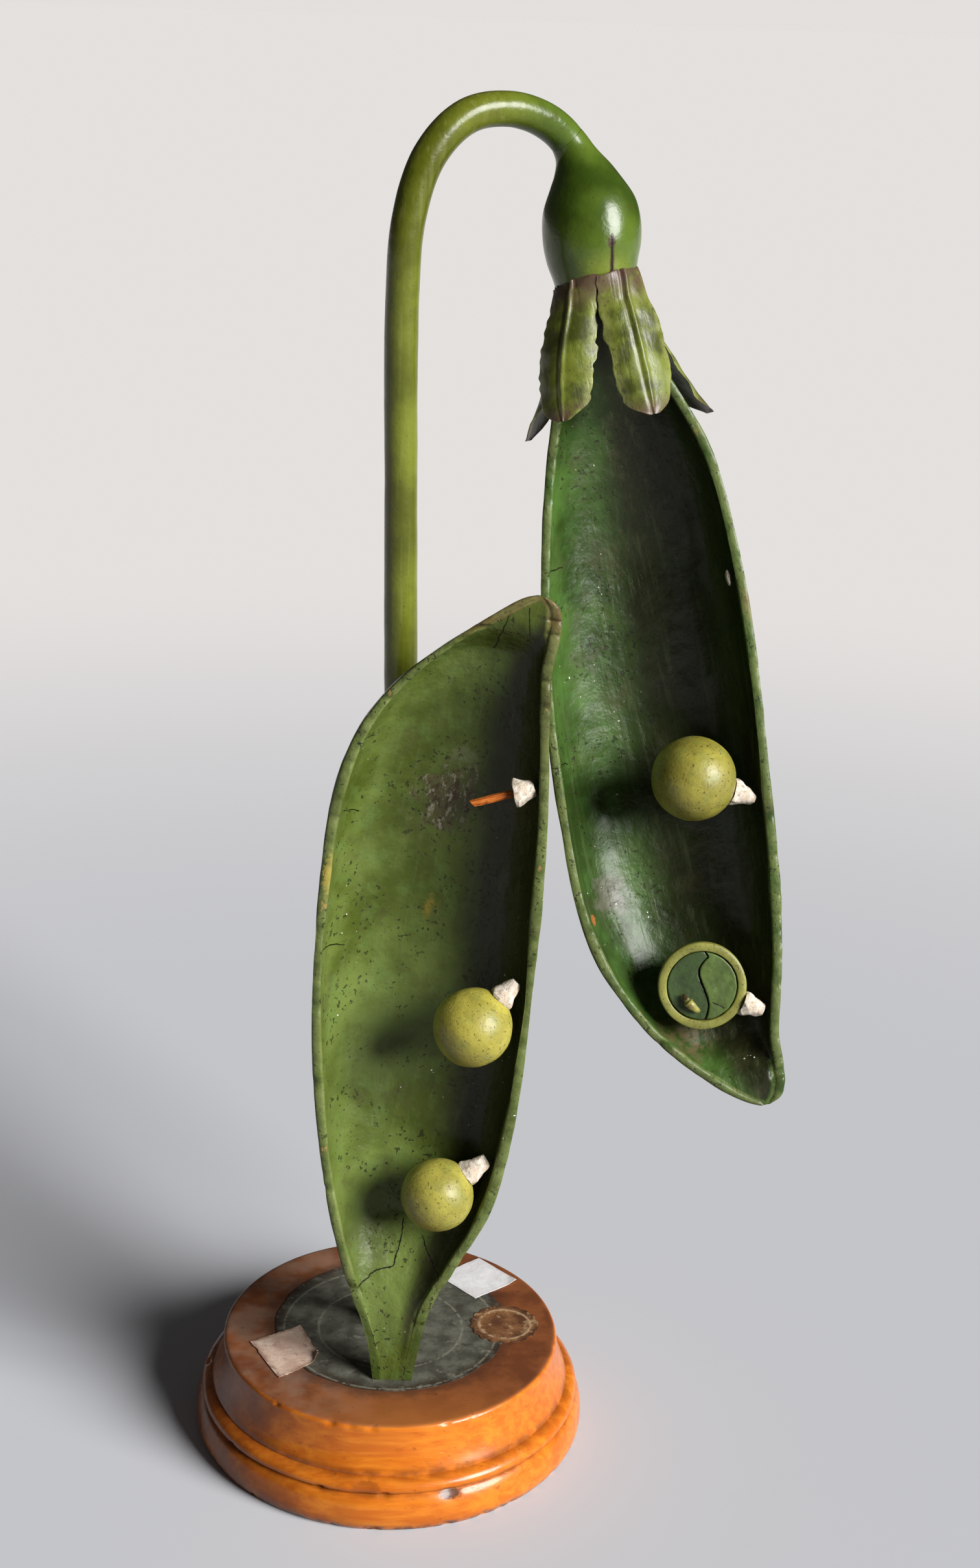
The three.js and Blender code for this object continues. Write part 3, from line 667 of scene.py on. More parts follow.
def standing_marks(look, inside, rim):
    """Stains, scrapes and cracks of the standing valve."""
    grey = look.spot((-18.2, 22.5, 208), (12.5, 13, 14.5), ragged=1.1, soft=0.6)
    look.lay(grey, rgb(88, 78, 58), 0.7)
    peeled = look.patch(2.6, 0.5, 0.56, detail=5, rough=0.72, stretch=(1, 1, 0.6))
    peeled = look.times(grey, peeled)
    look.lay(peeled, rgb(58, 38, 26), 0.8)
    scraped = look.patch(1.9, 0.54, 0.6, detail=5, rough=0.72, stretch=(1, 1, 0.45))
    scraped = look.times(grey, scraped)
    look.lay(scraped, rgb(158, 152, 132), 0.85)
    blotch = look.spot((-15.3, 20, 224), (5.5, 9, 4.5), ragged=1.0, soft=0.7)
    look.lay(blotch, rgb(120, 124, 92), 0.5)
    stain = look.spot((-16.8, 24, 167.7), (3.6, 8, 6.2), ragged=0.9, soft=0.8)
    stain = look.times(stain, look.patch(3, 0.3, 0.62, detail=4, stretch=(1, 1, 0.5)))
    look.lay(stain, rgb(134, 116, 44), 0.8)
    smear = look.spot((6, 12, 214), (7, 14, 12), ragged=1.0)
    look.lay(smear, rgb(62, 54, 36), 0.5)
    wear = look.spot((-50.5, 0, 183), (3.5, 3, 10), ragged=0.8)
    look.lay(wear, rgb(164, 146, 66), 0.85)
    beak = look.times(look.step(look.axis("Z"), 262, 280), look.step(rim, 0.2, 0.9))
    look.lay(beak, rgb(98, 66, 36), 0.85)
    lengthwise = look.times(look.step(rim, 0.3, 0.8), look.step(look.axis("X"), 0, 8))
    seam = look.times(lengthwise, look.step(look.axis("Z"), 200, 262))
    look.lay(seam, rgb(64, 42, 26), 0.55)
    return dark_cracks(look, standing_cracks(look), inside, rim)


def standing_cracks(look):
    """Cracks up from the foot, down from the beak and in from the rim."""
    wide = [
        [(-17.8, 0, 33.3), (-13.1, 0, 39.1), (-7.4, 0, 40.9), (-6, 0, 49.6), (-6.6, 0, 56)],
        [(0.6, 0, 52.1), (4.2, 0, 46.6), (8.6, 0, 42.5)],
    ]
    fine = [
        [(-10.6, 0, 277.6), (-12.9, 0, 264)],
        [(-4.8, 0, 281), (-3, 0, 272)],
        [(-50, 0, 228), (-45, 0, 229)],
        [(-52, 0, 203), (-46, 0, 201)],
        [(-50, 0, 155), (-43, 0, 153)],
    ]
    cracks = [look.crack(points, 0.3) for points in wide]
    return cracks + [look.crack(points, 0.22, wander=0.9) for points in fine]


def dark_cracks(look, cracks, inside, rim):
    """Darkens cracks in a valve's hollow and on its rim, and gives them back."""
    lines = look.times(look.most(*cracks), look.most(inside, rim))
    look.lay(lines, DARK)
    return lines


def hanging_marks(look, inside, rim):
    """Stains, scrapes and cracks of the hanging valve, whose places count from its ring."""
    begin = STALK_IN_CUP
    patch = look.spot((-37, -15, 208 - begin), (8, 12, 9), ragged=0.9, soft=0.6)
    look.lay(patch, rgb(92, 90, 76), 0.75)
    chip = look.spot((-44.5, -6, 213.3 - begin), (1.4, 3, 2.2), ragged=0.6)
    look.lay(chip, rgb(150, 92, 44))
    dusty = look.spot((-24, -8, 258 - begin), (13, 14, 17), ragged=0.9, soft=0.7)
    dusty = look.times(dusty, look.patch(3, 0.36, 0.6, detail=5))
    look.lay(dusty, rgb(102, 84, 60), 0.6)
    scuff = look.spot((26.7, 0, 121.6 - begin), (3, 4, 6), ragged=0.9)
    look.lay(scuff, rgb(108, 82, 52), 0.7)
    cracks = [
        look.crack([(-36, 0, 98.3 - begin), (-29.9, 0, 98 - begin)], 0.26),
        look.crack([(-47, 0, 160 - begin), (-41, 0, 161 - begin)], 0.22),
    ]
    return dark_cracks(look, cracks, inside, rim)


def stem_look(name, coat):
    """Glossy paint that turns from the stem's yellow-green to the receptacle's deeper green."""
    look = Look(name, specular=0.3, coat=coat, coat_roughness=0.14)
    bulb = look.attribute("bulb")
    shade = look.mix(bulb, rgb(80, 86, 16), rgb(48, 68, 12))
    tint = look.mix(bulb, rgb(112, 120, 36), rgb(84, 106, 32))
    look.colour = look.mix(look.patch(26, 0.34, 0.66, detail=3), shade, tint)
    streaks = look.patch(1.6, 0.5, 0.74, detail=4, stretch=(1, 1, 0.05))
    streaks = look.times(streaks, look.calc("SUBTRACT", 1.0, bulb))
    look.lay(streaks, rgb(150, 152, 88), 0.22)
    dirt = look.patch(9, 0.58, 0.72, detail=5, rough=0.65)
    look.lay(dirt, rgb(62, 54, 22), 0.3)
    ring = Vector(STEM_LINE[-1])
    near_ring = look.spot(ring + Vector((3, -12, 4)), (12, 22, 9), ragged=0.5, soft=0.9)
    look.lay(near_ring, rgb(136, 146, 52), 0.5)
    edge = look.spot(ring + Vector((0, 0, -3)), (17, 17, 5.6), ragged=0.35, soft=0.5)
    look.lay(edge, rgb(92, 74, 46), 0.55)
    front = look.step(look.axis("Y"), 18, 14)
    drop = look.spot((60.9, 11, 421), (1.5, 14, 2.4), ragged=0.3, grain=1.2)
    trail = look.crack([(60.9, 0, 421), (61.3, 0, 416), (61.6, 0, 406)], 0.95, wander=0.5)
    stain = look.times(look.most(drop, trail), front)
    look.lay(stain, rgb(66, 38, 18), 0.85)
    line = look.crack([(60.9, 0, 423), (61.3, 0, 412)], 0.4, wander=0.6)
    line = look.times(line, front)
    look.lay(line, DARK)
    specks = look.patch(1.0, 0.7, 0.74, detail=1)
    look.lay(specks, BROWN, 0.5)
    height = look.total((look.noise(5, 3), 0.3), (line, -0.3), (look.noise(1.8, 2), 0.06))
    rough = look.total((look.noise(8, 3), 0.2), level=0.2)
    return look.done(rough, height)


def sepal_look():
    look = Look("sepal_olive", coat=0.15, coat_roughness=0.25)
    along = look.attribute("along")
    edge = look.attribute("edge")
    rib = look.attribute("rib")
    look.colour = look.mix(look.patch(9, 0.38, 0.62, detail=4), rgb(62, 68, 12), rgb(108, 118, 36))
    veins = look.patch(2.4, 0.5, 0.72, detail=3, stretch=(1, 1, 0.2))
    look.lay(veins, rgb(60, 62, 22), 0.25)
    pale = look.times(edge, look.patch(2.5, 0.3, 0.55, detail=3))
    look.lay(pale, rgb(150, 154, 84), 0.55)
    look.lay(rib, rgb(132, 138, 74), 0.3)
    groove = look.times(look.attribute("groove"), look.step(along, 0.95, 0.5))
    look.lay(groove, rgb(48, 40, 22), 0.55)
    ends = look.most(look.step(along, 0.26, 0.02), look.step(along, 0.84, 0.98))
    ends = look.times(ends, look.patch(4, 0.24, 0.5, detail=4))
    look.lay(ends, rgb(88, 62, 54), 0.85)
    specks = look.patch(1.1, 0.68, 0.72, detail=1)
    look.lay(specks, BROWN, 0.6)
    height = look.total((look.noise(2.2, 4), 0.2), (veins, -0.08))
    rough = look.total((look.noise(5, 3), 0.3), level=0.28)
    return look.done(rough, height)


def pea_look(name, tint, dusty):
    look = Look(name, coat=0.12, coat_roughness=0.3)
    look.colour = look.mix(look.patch(9, 0.36, 0.64, detail=3), tint, tuple(c * 0.72 for c in tint))
    green = look.times(look.patch(5, 0.5, 0.68, detail=3), 0.4)
    look.lay(green, rgb(128, 136, 66))
    grime = look.patch(1.8, 0.55, 0.68, detail=5, rough=0.7)
    look.lay(grime, rgb(108, 92, 44), 0.4)
    top = look.spot((0, 0, 4), (9, 9, 9), ragged=0.8, soft=0.7)
    speckled = look.times(top, look.patch(0.8, 0.55, 0.62, detail=3))
    look.lay(speckled, rgb(82, 66, 38), dusty)
    specks = look.patch(0.9, 0.68, 0.72, detail=1)
    look.lay(specks, rgb(66, 52, 28), 0.75)
    scratch = look.patch(0.7, 0.68, 0.71, detail=1, stretch=(0.3, 1, 1))
    look.lay(scratch, BROWN, 0.5)
    height = look.total((look.noise(1.5, 2), 0.14), (specks, -0.1))
    rough = look.total((look.noise(4, 3), 0.26), level=0.32)
    return look.done(rough, height)


def kernel_look(name, tint):
    look = Look(name, coat=0.1, coat_roughness=0.3)
    look.colour = look.mix(look.patch(6, 0.36, 0.64, detail=4), tint, tuple(c * 0.66 for c in tint))
    grime = look.patch(2, 0.56, 0.68, detail=5, rough=0.7)
    look.lay(grime, rgb(74, 66, 36), 0.4)
    specks = look.patch(0.8, 0.68, 0.72, detail=1)
    look.lay(specks, DARK, 0.6)
    line = look.crack([(2, 0, 6), (5.5, 0, 8.8)], 0.25, wander=0.6)
    look.lay(line, DARK)
    height = look.total((look.noise(1.8, 3), 0.14), (line, -0.2))
    rough = look.total((look.noise(4, 3), 0.3), level=0.35)
    return look.done(rough, height)


def embryo_look():
    look = Look("embryo_yellow", coat=0.1)
    look.colour = look.mix(look.patch(1.6, 0.4, 0.62, detail=3), rgb(150, 142, 66), rgb(112, 118, 50))
    # Painted shade: one end of the root is laid dark brown, as if it sat in a shaded pocket of the
    # kernel.
    dark = look.spot((-6.6, 1.5, 1.6), (2.4, 4, 2.2), ragged=0.4)
    look.lay(dark, rgb(48, 34, 20), 0.9)
    collar = look.spot((-5.4, 1.5, 5.2), (1.5, 4, 1.2), ragged=0.4)
    look.lay(collar, rgb(104, 74, 38), 0.6)
    return look.done(0.42, look.times(look.noise(0.9, 2), 0.08))


def plaster_look():
    look = Look("plaster_white", specular=0.3)
    look.colour = look.mix(look.patch(3, 0.4, 0.62, detail=4), rgb(222, 212, 198), rgb(198, 182, 162))
    grime = look.patch(1.3, 0.55, 0.66, detail=4, rough=0.7)
    look.lay(grime, rgb(128, 112, 88), 0.45)
    green = look.patch(2.2, 0.64, 0.7, detail=2)
    look.lay(green, rgb(112, 122, 76), 0.5)
    height = look.total((look.noise(0.8, 4, 0.7), 0.22), (grime, -0.08))
    rough = look.total((look.noise(2, 2), 0.2), level=0.68)
    return look.done(rough, height)


def peg_look():
    look = Look("peg_orange", specular=0.35)
    grain = look.noise(0.5, 4, 0.65, stretch=(1, 1, 0.08))
    look.colour = look.mix(look.step(grain, 0.38, 0.64), rgb(150, 70, 16), rgb(208, 116, 40))
    stain = look.patch(2.2, 0.56, 0.68, detail=3)
    look.lay(stain, rgb(88, 44, 20), 0.6)
    rough = look.total((grain, 0.3), level=0.45)
    return look.done(rough, look.times(grain, 0.12))


def iron_look():
    look = Look("iron_dark")
    look.shader.inputs["Metallic"].default_value = 0.9
    rust = look.patch(2, 0.48, 0.6, detail=4)
    look.colour = look.mix(rust, rgb(98, 92, 88), rgb(112, 68, 44))
    rough = look.total((rust, 0.35), level=0.4)
    return look.done(rough, look.times(look.noise(0.6, 3), 0.06))


def base_look():
    """Orange-brown varnished wood with dark stains, painted shade on its left side, a dull top and
    grain across the turning.
    """
    look = Look("wood_varnished", specular=0.3, coat=0.22, coat_roughness=0.1)
    top = look.attribute("top")
    groove = look.attribute("groove")
    grain = look.noise(3, 5, 0.6, stretch=(0.08, 1, 1), warp=0.4)
    look.colour = look.mix(look.step(grain, 0.34, 0.68), rgb(200, 104, 24), rgb(224, 130, 36))
    pores = look.patch(0.9, 0.6, 0.72, detail=4, stretch=(0.05, 1, 1))
    look.lay(pores, rgb(98, 42, 16), 0.16)
    red = look.patch(26, 0.42, 0.66, detail=3)
    look.lay(red, rgb(180, 86, 26), 0.35)
    # Painted shade: the left side, away from the light, is laid dark red-brown in blotches.
    left = look.times(look.step(look.axis("X"), 20, -60), look.patch(14, 0.34, 0.62, detail=4))
    look.lay(left, rgb(116, 44, 12), 0.55)
    grime = look.times(groove, look.patch(9, 0.3, 0.6, detail=3))
    look.lay(grime, rgb(84, 40, 18), 0.6)
    dent = look.spot(DARK_DENT, (4.6, 5, 2), ragged=0.5)
    look.lay(dent, rgb(44, 24, 16), 0.85)
    faint = look.spot(FAINT_DENT, (6, 6, 3), ragged=0.5)
    look.lay(faint, rgb(104, 50, 26), 0.4)
    foot = look.times(look.step(look.axis("Z"), 3.2, 0.6), look.patch(4, 0.42, 0.58, detail=4))
    look.lay(foot, rgb(42, 26, 18), 0.8)
    look.lay(top, dull_wood(look))
    scars = look.patch(1.6, 0.67, 0.71, detail=3, stretch=(0.5, 0.5, 1))
    look.lay(scars, rgb(72, 36, 20), 0.35)
    height = look.total((grain, 0.04), (pores, -0.03), (look.noise(14, 2), 0.16))
    rough = look.total((look.noise(9, 4), 0.16), (top, 0.3), level=0.2)
    return look.done(rough, height)


def dull_wood(look):
    """The top's worn varnish: bloomed at the left, warmer in front, dark round the disc."""
    dull = look.mix(look.patch(10, 0.36, 0.64, detail=4), rgb(112, 62, 34), rgb(138, 80, 44))
    bloom = look.times(look.step(look.axis("X"), 20, -40), look.patch(13, 0.36, 0.64, detail=5))
    dull = look.mix(look.times(bloom, 0.5), dull, rgb(146, 124, 106))
    front = look.times(look.step(look.axis("Y"), -30, -58), look.step(look.axis("X"), -50, 10))
    dull = look.mix(look.times(front, 0.7), dull, rgb(176, 104, 46))
    near_disc = look.spot((*DISC_CENTRE, BASE_HEIGHT), (48.5, 48.5, 20), ragged=0.12, soft=0.14)
    return look.mix(look.times(near_disc, 0.6), dull, rgb(66, 40, 28))


def paper_look(name, shade, tint, edge_colour, wear):
    """Old paper: mottled, with fibres and a darker worn edge."""
    look = Look(name, specular=0.25)
    edge = look.attribute("edge")
    look.colour = look.mix(look.patch(8, 0.36, 0.64, detail=5), shade, tint)
    spots = look.patch(3, 0.55, 0.68, detail=5, rough=0.7)
    look.lay(spots, edge_colour, wear * 0.7)
    fibres = look.patch(0.7, 0.5, 0.7, detail=3, stretch=(0.25, 1, 1))
    look.lay(fibres, edge_colour, 0.18)
    worn = look.times(edge, look.patch(4, 0.3, 0.55, detail=4))
    look.lay(worn, edge_colour, wear)
    return look


def paper_done(look, relief=0.06):
    height = look.total((look.noise(0.9, 4), relief), (look.noise(6, 3), 0.25))
    rough = look.total((look.noise(3, 2), 0.15), level=0.72)
    return look.done(rough, height)


def paper_ring(look, ring):
    """How far each place on a round paper is from a ring, in millimetres."""
    radius = look.vector("LENGTH", look.vector("MULTIPLY", look.place, (1, 1, 0)))
    return look.calc("ABSOLUTE", look.calc("SUBTRACT", look.times(radius, 1 / MM), ring))


def disc_look():
    colours = (rgb(72, 72, 62), rgb(104, 104, 92), rgb(52, 38, 28))
    look = paper_look("paper_greenish", *colours, 0.9)
    for ring in DISC_RINGS:
        near = paper_ring(look, ring)
        line = look.times(look.step(near, 0.7, 0.15), look.patch(2, 0.36, 0.5, detail=3))
        look.lay(line, rgb(146, 142, 124), 0.5)
    pale = look.patch(5, 0.6, 0.72, detail=4)
    look.lay(pale, rgb(148, 144, 128), 0.45)
    blot = look.patch(7, 0.58, 0.7, detail=5, rough=0.7)
    look.lay(blot, rgb(60, 54, 40), 0.5)
    return paper_done(look)


def seal_look():
    colours = (rgb(92, 56, 34), rgb(134, 92, 58), rgb(62, 36, 24))
    look = paper_look("paper_seal", *colours, 0.7)
    pressed = look.step(paper_ring(look, SEAL_RING), 0.8, 0.2)
    pale = look.times(pressed, look.patch(2, 0.34, 0.5, detail=3))
    look.lay(pale, rgb(188, 160, 122), 0.7)
    flakes = look.patch(3.2, 0.55, 0.62, detail=4)
    look.lay(flakes, rgb(176, 146, 110), 0.6)
    return paper_done(look, 0.12)


def old_label_look():
    colours = (rgb(196, 164, 146), rgb(216, 190, 170), rgb(120, 84, 64))
    look = paper_look("paper_pinkish", *colours, 0.7)
    bare = look.patch(4, 0.6, 0.68, detail=4)
    look.lay(bare, rgb(218, 204, 186), 0.6)
    return paper_done(look)


def white_label_look():
    colours = (rgb(226, 224, 224), rgb(236, 235, 235), rgb(188, 184, 180))
    look = paper_look("paper_white", *colours, 0.3)
    return paper_done(look, 0.02)


# ---- base and papers -------------------------------------------------------------------------


def base_profile():
    """Foot roll, bead and hollow moulding up to the top's edge, then the stem's socket."""
    foot = BASE_RADIUS
    top = TOP_RADIUS
    parts = [
        [(0, 0)],
        [(r, 0) for r in np.linspace(4, foot - 1.6, 24)],
        bezier((foot - 1.6, 0), (foot, 1.4), (foot + 0.5, 4), (foot, 6.6), 14),
        bezier((foot, 6.6), (foot - 0.4, 9.6), (foot - 1.4, 12), (foot - 2.9, 13.2), 14),
        bezier((foot - 2.9, 13.2), (foot - 1, 14.4), (foot - 2.2, 17.4), (foot - 5.8, 18.3), 16),
        bezier((foot - 5.8, 18.3), (64.4, 20), (top + 1.2, 23), (top + 0.3, 32.6), 26),
        bezier((top + 0.3, 32.6), (top + 0.3, 34.2), (top - 0.3, 35), (top - 1.8, BASE_HEIGHT), 8),
        [(r, BASE_HEIGHT) for r in np.linspace(top - 3, SOCKET_RADIUS + 0.4, 40)],
        [(SOCKET_RADIUS, BASE_HEIGHT - 0.4)],
        [(SOCKET_RADIUS, z) for z in np.linspace(BASE_HEIGHT - 3, SOCKET_FLOOR, 8)],
        [(0, SOCKET_FLOOR)],
    ]
    return [tuple(p) for part in parts for p in part]


def dented(points, centre, reach, deep):
    """How far each point sinks in a small dent."""
    gone = np.linalg.norm(points - np.asarray(centre), axis=1) / reach
    return -deep * np.clip(1 - gone**2, 0, 1) ** 1.5


def build_base():
    base = turned("base_surface", base_profile(), 300)
    points = coords(base)
    radius = np.hypot(points[:, 0], points[:, 1])
    height = points[:, 2]
    side = smoothstep(radius, 58, 61) * smoothstep(height, 0.2, 2)
    uneven = side * (noise(points, 24, 1) * 0.22 + noise(points, 7, 2) * 0.08)
    uneven += side * dented(points, DARK_DENT, 4.5, 0.4)
    uneven += side * dented(points, FAINT_DENT, 5, 0.5)
    rng = np.random.default_rng(7)
    for _ in range(34):
        turn = rng.normal(-100 * DEG, 60 * DEG)
        low = rng.choice(list(KNOCKS), p=KNOCK_ODDS)
        reach = KNOCKS[low]
        centre = (reach * math.cos(turn), reach * math.sin(turn), low)
        uneven += dented(points, centre, rng.uniform(1.0, 2.6), rng.uniform(0.3, 1.1))
    push(base, uneven)
    keep_edges(base, 50)
    mark(base, "top", smoothstep(height, 34.0, 34.9) * smoothstep(radius, 60.4, 59))
    groove = np.exp(-(((height - 13.4) / 1.1) ** 2)) + np.exp(-(((height - 19) / 1.6) ** 2))
    mark(base, "groove", groove * smoothstep(radius, 56, 60))
    give(base, base_look(), "base_wood", "base")


def under_paper(x, y):
    """Height of what lies under a label: the paper disc, or the wood outside it."""
    gone = np.hypot(x - DISC_CENTRE[0], y - DISC_CENTRE[1])
    fall = smoothstep(gone, DISC_RADIUS - 0.5, DISC_RADIUS + 2.5)
    return BASE_HEIGHT + LABEL_LIFT - DISC_STEP * fall


def paper_sheet(name, x, y, lift):
    """A sheet of paper from a grid of places and the height of its lower side there."""
    rows, columns = x.shape
    top = np.stack([x, y, lift + PAPER], 2)
    low = np.stack([x, y, lift], 2)[:, ::-1]
    points = np.concatenate([top, low], 1).reshape(-1, 3)
    return make_piece(name, points, sheet_faces(rows, columns, 0))


def build_disc():
    """The round paper, with a hole for the stem and an edge worn by handling."""
    segments = 220
    angle = full_turn(segments)
    radii = [DISC_HOLE, *np.linspace(8, DISC_RADIUS - 1, 34), DISC_RADIUS - 0.1]
    worn = noise(circle(angle, 20, 0), 2.2, 3)
    rings = []
    for side in (1, 0):
        for radius in radii if side else radii[::-1]:
            outer = smoothstep(radius, 30, DISC_RADIUS)
            reach = radius - outer * np.clip(worn, 0, 1) * 0.9
            centre = np.array(DISC_CENTRE) * smoothstep(radius, DISC_HOLE, 30)
            rings.append(circle(angle, reach, BASE_HEIGHT + DISC_GAP + side * PAPER, centre))
    points = np.vstack(rings)
    disc = make_piece("paper_disc_surface", points, loop_faces(len(rings), segments, closed=True))
    points = coords(disc)
    gone = np.hypot(points[:, 0] - DISC_CENTRE[0], points[:, 1] - DISC_CENTRE[1])
    mark(disc, "edge", smoothstep(gone, DISC_RADIUS - 7, DISC_RADIUS - 0.5))
    keep_edges(disc, 40)
    give(disc, disc_look(), "disc_paper", "paper_disc")


def build_label(name, corners, look, slot, torn, curl):
    """A four-cornered label with ragged edges and one corner that curls up."""
    steps = np.linspace(0, 1, 44)
    u, v = np.meshgrid(steps, steps, indexing="ij")
    a, b, c, d = (np.array(p, float) for p in corners)
    place = (
        a * ((1 - u) * (1 - v))[..., None]
        + b * (u * (1 - v))[..., None]
        + c * (u * v)[..., None]
        + d * ((1 - u) * v)[..., None]
    )
    middle = (a + b + c + d) / 4
    near_edge = 1 - np.minimum(np.minimum(u, 1 - u), np.minimum(v, 1 - v)) * 2
    flat = np.stack([place[..., 0].ravel(), place[..., 1].ravel(), np.zeros(u.size)], 1)
    rag = noise(flat, 3.1, 11).reshape(u.shape) * torn
    rag = rag + noise(flat, 1.1, 12).reshape(u.shape) * torn * 0.5
    inward = (middle - place) / np.linalg.norm(middle - place + 1e-9, axis=2, keepdims=True)
    place = place + inward * (np.clip(rag, 0, 2) * near_edge**6)[..., None]
    lift = under_paper(place[..., 0], place[..., 1])
    lift = lift + (noise(flat, 9, 13).reshape(u.shape) + 1) * 0.08
    corner = smoothstep(u + v, 2 - curl[0], 2)
    lift = lift + corner**1.4 * curl[1]
    place = place + inward * (corner**2 * curl[1] * 0.7)[..., None]
    piece = paper_sheet(name + "_surface", place[..., 0], place[..., 1], lift)
    points = coords(piece)
    edge = np.zeros(len(points))
    for p, q in zip(corners, corners[1:] + corners[:1]):
        p, q = np.array(p), np.array(q)
        way = (q - p) / np.linalg.norm(q - p)
        off = np.abs((points[:, 0] - p[0]) * way[1] - (points[:, 1] - p[1]) * way[0])
        edge = np.maximum(edge, smoothstep(off, 2.2, 0.2))
    mark(piece, "edge", edge)
    keep_edges(piece, 40)
    give(piece, look, slot, name)


def build_seal():
    """The round seal, scalloped, with a torn side towards the base's front edge."""
    segments = 192
    angle = full_turn(segments)
    scallop = np.abs(np.sin(angle * 9)) ** 0.7 * 0.9
    tear = np.clip(noise(circle(angle, 6, 0), 2.5, 5), 0, 1)
    tear = tear * 2.2 * smoothstep(np.cos(angle + 0.5), -0.2, 0.7)
    edge_reach = SEAL_RADIUS - 0.9 + scallop - tear
    shares = np.linspace(0.04, 1, 26)
    rings = []
    for side in (1, 0):
        for share in shares if side else shares[::-1]:
            reach = edge_reach * share
            ring = circle(angle, reach, 0)
            ring[:, 2] = under_paper(ring[:, 0] + SEAL_CENTRE[0], ring[:, 1] + SEAL_CENTRE[1])
            pressed = np.exp(-(((reach - SEAL_RING) / 0.7) ** 2)) * 0.16
            ring[:, 2] += (PAPER + pressed) * side
            rings.append(ring)
    points = np.vstack(rings)
    place = Matrix.Translation((SEAL_CENTRE[0] * MM, SEAL_CENTRE[1] * MM, 0))
    seal = make_piece("seal_surface", points, capped(len(rings), segments), place)
    points = coords(seal)
    mark(seal, "edge", smoothstep(np.hypot(points[:, 0], points[:, 1]), 9.8, 12))
    keep_edges(seal, 50)
    give(seal, seal_look(), "seal_paper", "seal")


# ---- stem and receptacle ---------------------------------------------------------------------

STEM_PATH = catmull_rom(STEM_LINE, 160)
STEM_RUN = np.concatenate([[0], np.cumsum(np.linalg.norm(np.diff(STEM_PATH, axis=0), axis=1))])
STEM_RUN_SHARE = STEM_RUN / STEM_RUN[-1]
POD_AXIS = np.array(HANGING.to_3x3() @ Vector((0, 0, 1)))
ARCH_TURN = math.atan2(STEM_LINE[-1][1], STEM_LINE[-1][0])


def stem_point(share):
    return np.stack([np.interp(share, STEM_RUN_SHARE, STEM_PATH[:, k]) for k in range(3)], -1)


def stem_heading(share):
    near = 0.0008
    way = stem_point(min(share + near, 1)) - stem_point(max(share - near, 0))
    way = way / np.linalg.norm(way)
    turning = float(smoothstep(share, NECK, 1))
    way = way * (1 - turning) + POD_AXIS * turning
    return way / np.linalg.norm(way)


def stem_rings(shares, radii, sides):
    """Circles of points across the stem's centre line."""
    angle = full_turn(sides)
    across = np.array([-math.sin(ARCH_TURN), math.cos(ARCH_TURN), 0])
    rings = []
    for share, radius in zip(shares, radii):
        way = stem_heading(share)
        up = np.cross(way, across)
        up = up / np.linalg.norm(up)
        side = np.cross(up, way)
        ring = np.outer(np.cos(angle), side) + np.outer(np.sin(angle), up)
        rings.append(stem_point(share) + radius * ring)
    return rings


def made_uneven(rings, radii):
    """Hand-made unevenness that runs on from the stem into the receptacle."""
    made = []
    for ring, radius in zip(rings, radii):
        out = noise(ring, 38, 21) * 0.3 + noise(ring, 11, 22) * 0.12 + noise(ring, 4, 23) * 0.04
        made.append(ring + (ring - ring.mean(0)) / radius * out[:, None])
    return made


def mark_bulb(piece):
    """0 on the stem, rising to 1 where it has swollen into the receptacle."""
    points = coords(piece)
    mark(piece, "bulb", smoothstep(points[:, 0], BULB_BEGINS, BULB_ENDS))


def build_stem():
    sides = 48
    shares = np.linspace(0, NECK, 330)
    radii = np.full(len(shares), STEM_RADIUS)
    shape = made_uneven(stem_rings(shares, radii, sides), radii)
    bore_shares = np.linspace(NECK, 0, 60)
    bore = stem_rings(bore_shares, np.full(60, SLEEVE_BORE), sides)
    rings = shape + bore
    stem = make_piece("stem_surface", np.vstack(rings), loop_faces(len(rings), sides, closed=True))
    keep_edges(stem, 50)
    mark_bulb(stem)
    give(stem, stem_look("stem_green", 0.14), "stem_paint", "stem")
    wire_shares = np.linspace(0, WIRE_END, 120)
    wire_rings = stem_rings(wire_shares, np.full(120, WIRE_RADIUS), 14)
    wire = make_piece("stem_wire_surface", np.vstack(wire_rings), capped(120, 14))
    keep_edges(wire, 50)
    give(wire, iron_look(), "stem_iron", "stem_wire")


def build_receptacle():
    sides = 112
    begin = NECK + 0.0002
    total = STEM_RUN[-1]
    swell_at = [0, 0.12, 0.3, 0.48, 0.64, 0.8, 0.93, 1]
    swell = [STEM_RADIUS, 6.4, 10.6, 14.6, 15.7, 15.2, 13.6, RING_RADIUS]
    own = np.linspace(0, 1, 90)
    radii = cubic(swell_at, swell, own)[:, 0]
    radii = radii - 0.45 * smoothstep(own, 0.985, 1)
    outside = made_uneven(stem_rings(begin + own * (1 - begin), radii, sides), radii)
    hole = stem_rings(np.linspace(WIRE_END + 0.001, begin, 10), np.full(10, SLEEVE_BORE), sides)
    lip = stem_rings([1, 0.9996], [CUP_RADIUS + 0.4, CUP_RADIUS], sides)
    cup_shares = np.linspace(0.999, 1 - CUP_DEPTH / total, 14)
    cup = stem_rings(cup_shares, np.full(14, CUP_RADIUS), sides)
    rings = hole + outside + lip + cup
    piece = make_piece("receptacle_surface", np.vstack(rings), capped(len(rings), sides))
    keep_edges(piece, 55)
    mark_bulb(piece)
    give(piece, stem_look("receptacle_green", 0.26), "receptacle_paint", "receptacle")


# ---- pod valves ------------------------------------------------------------------------------


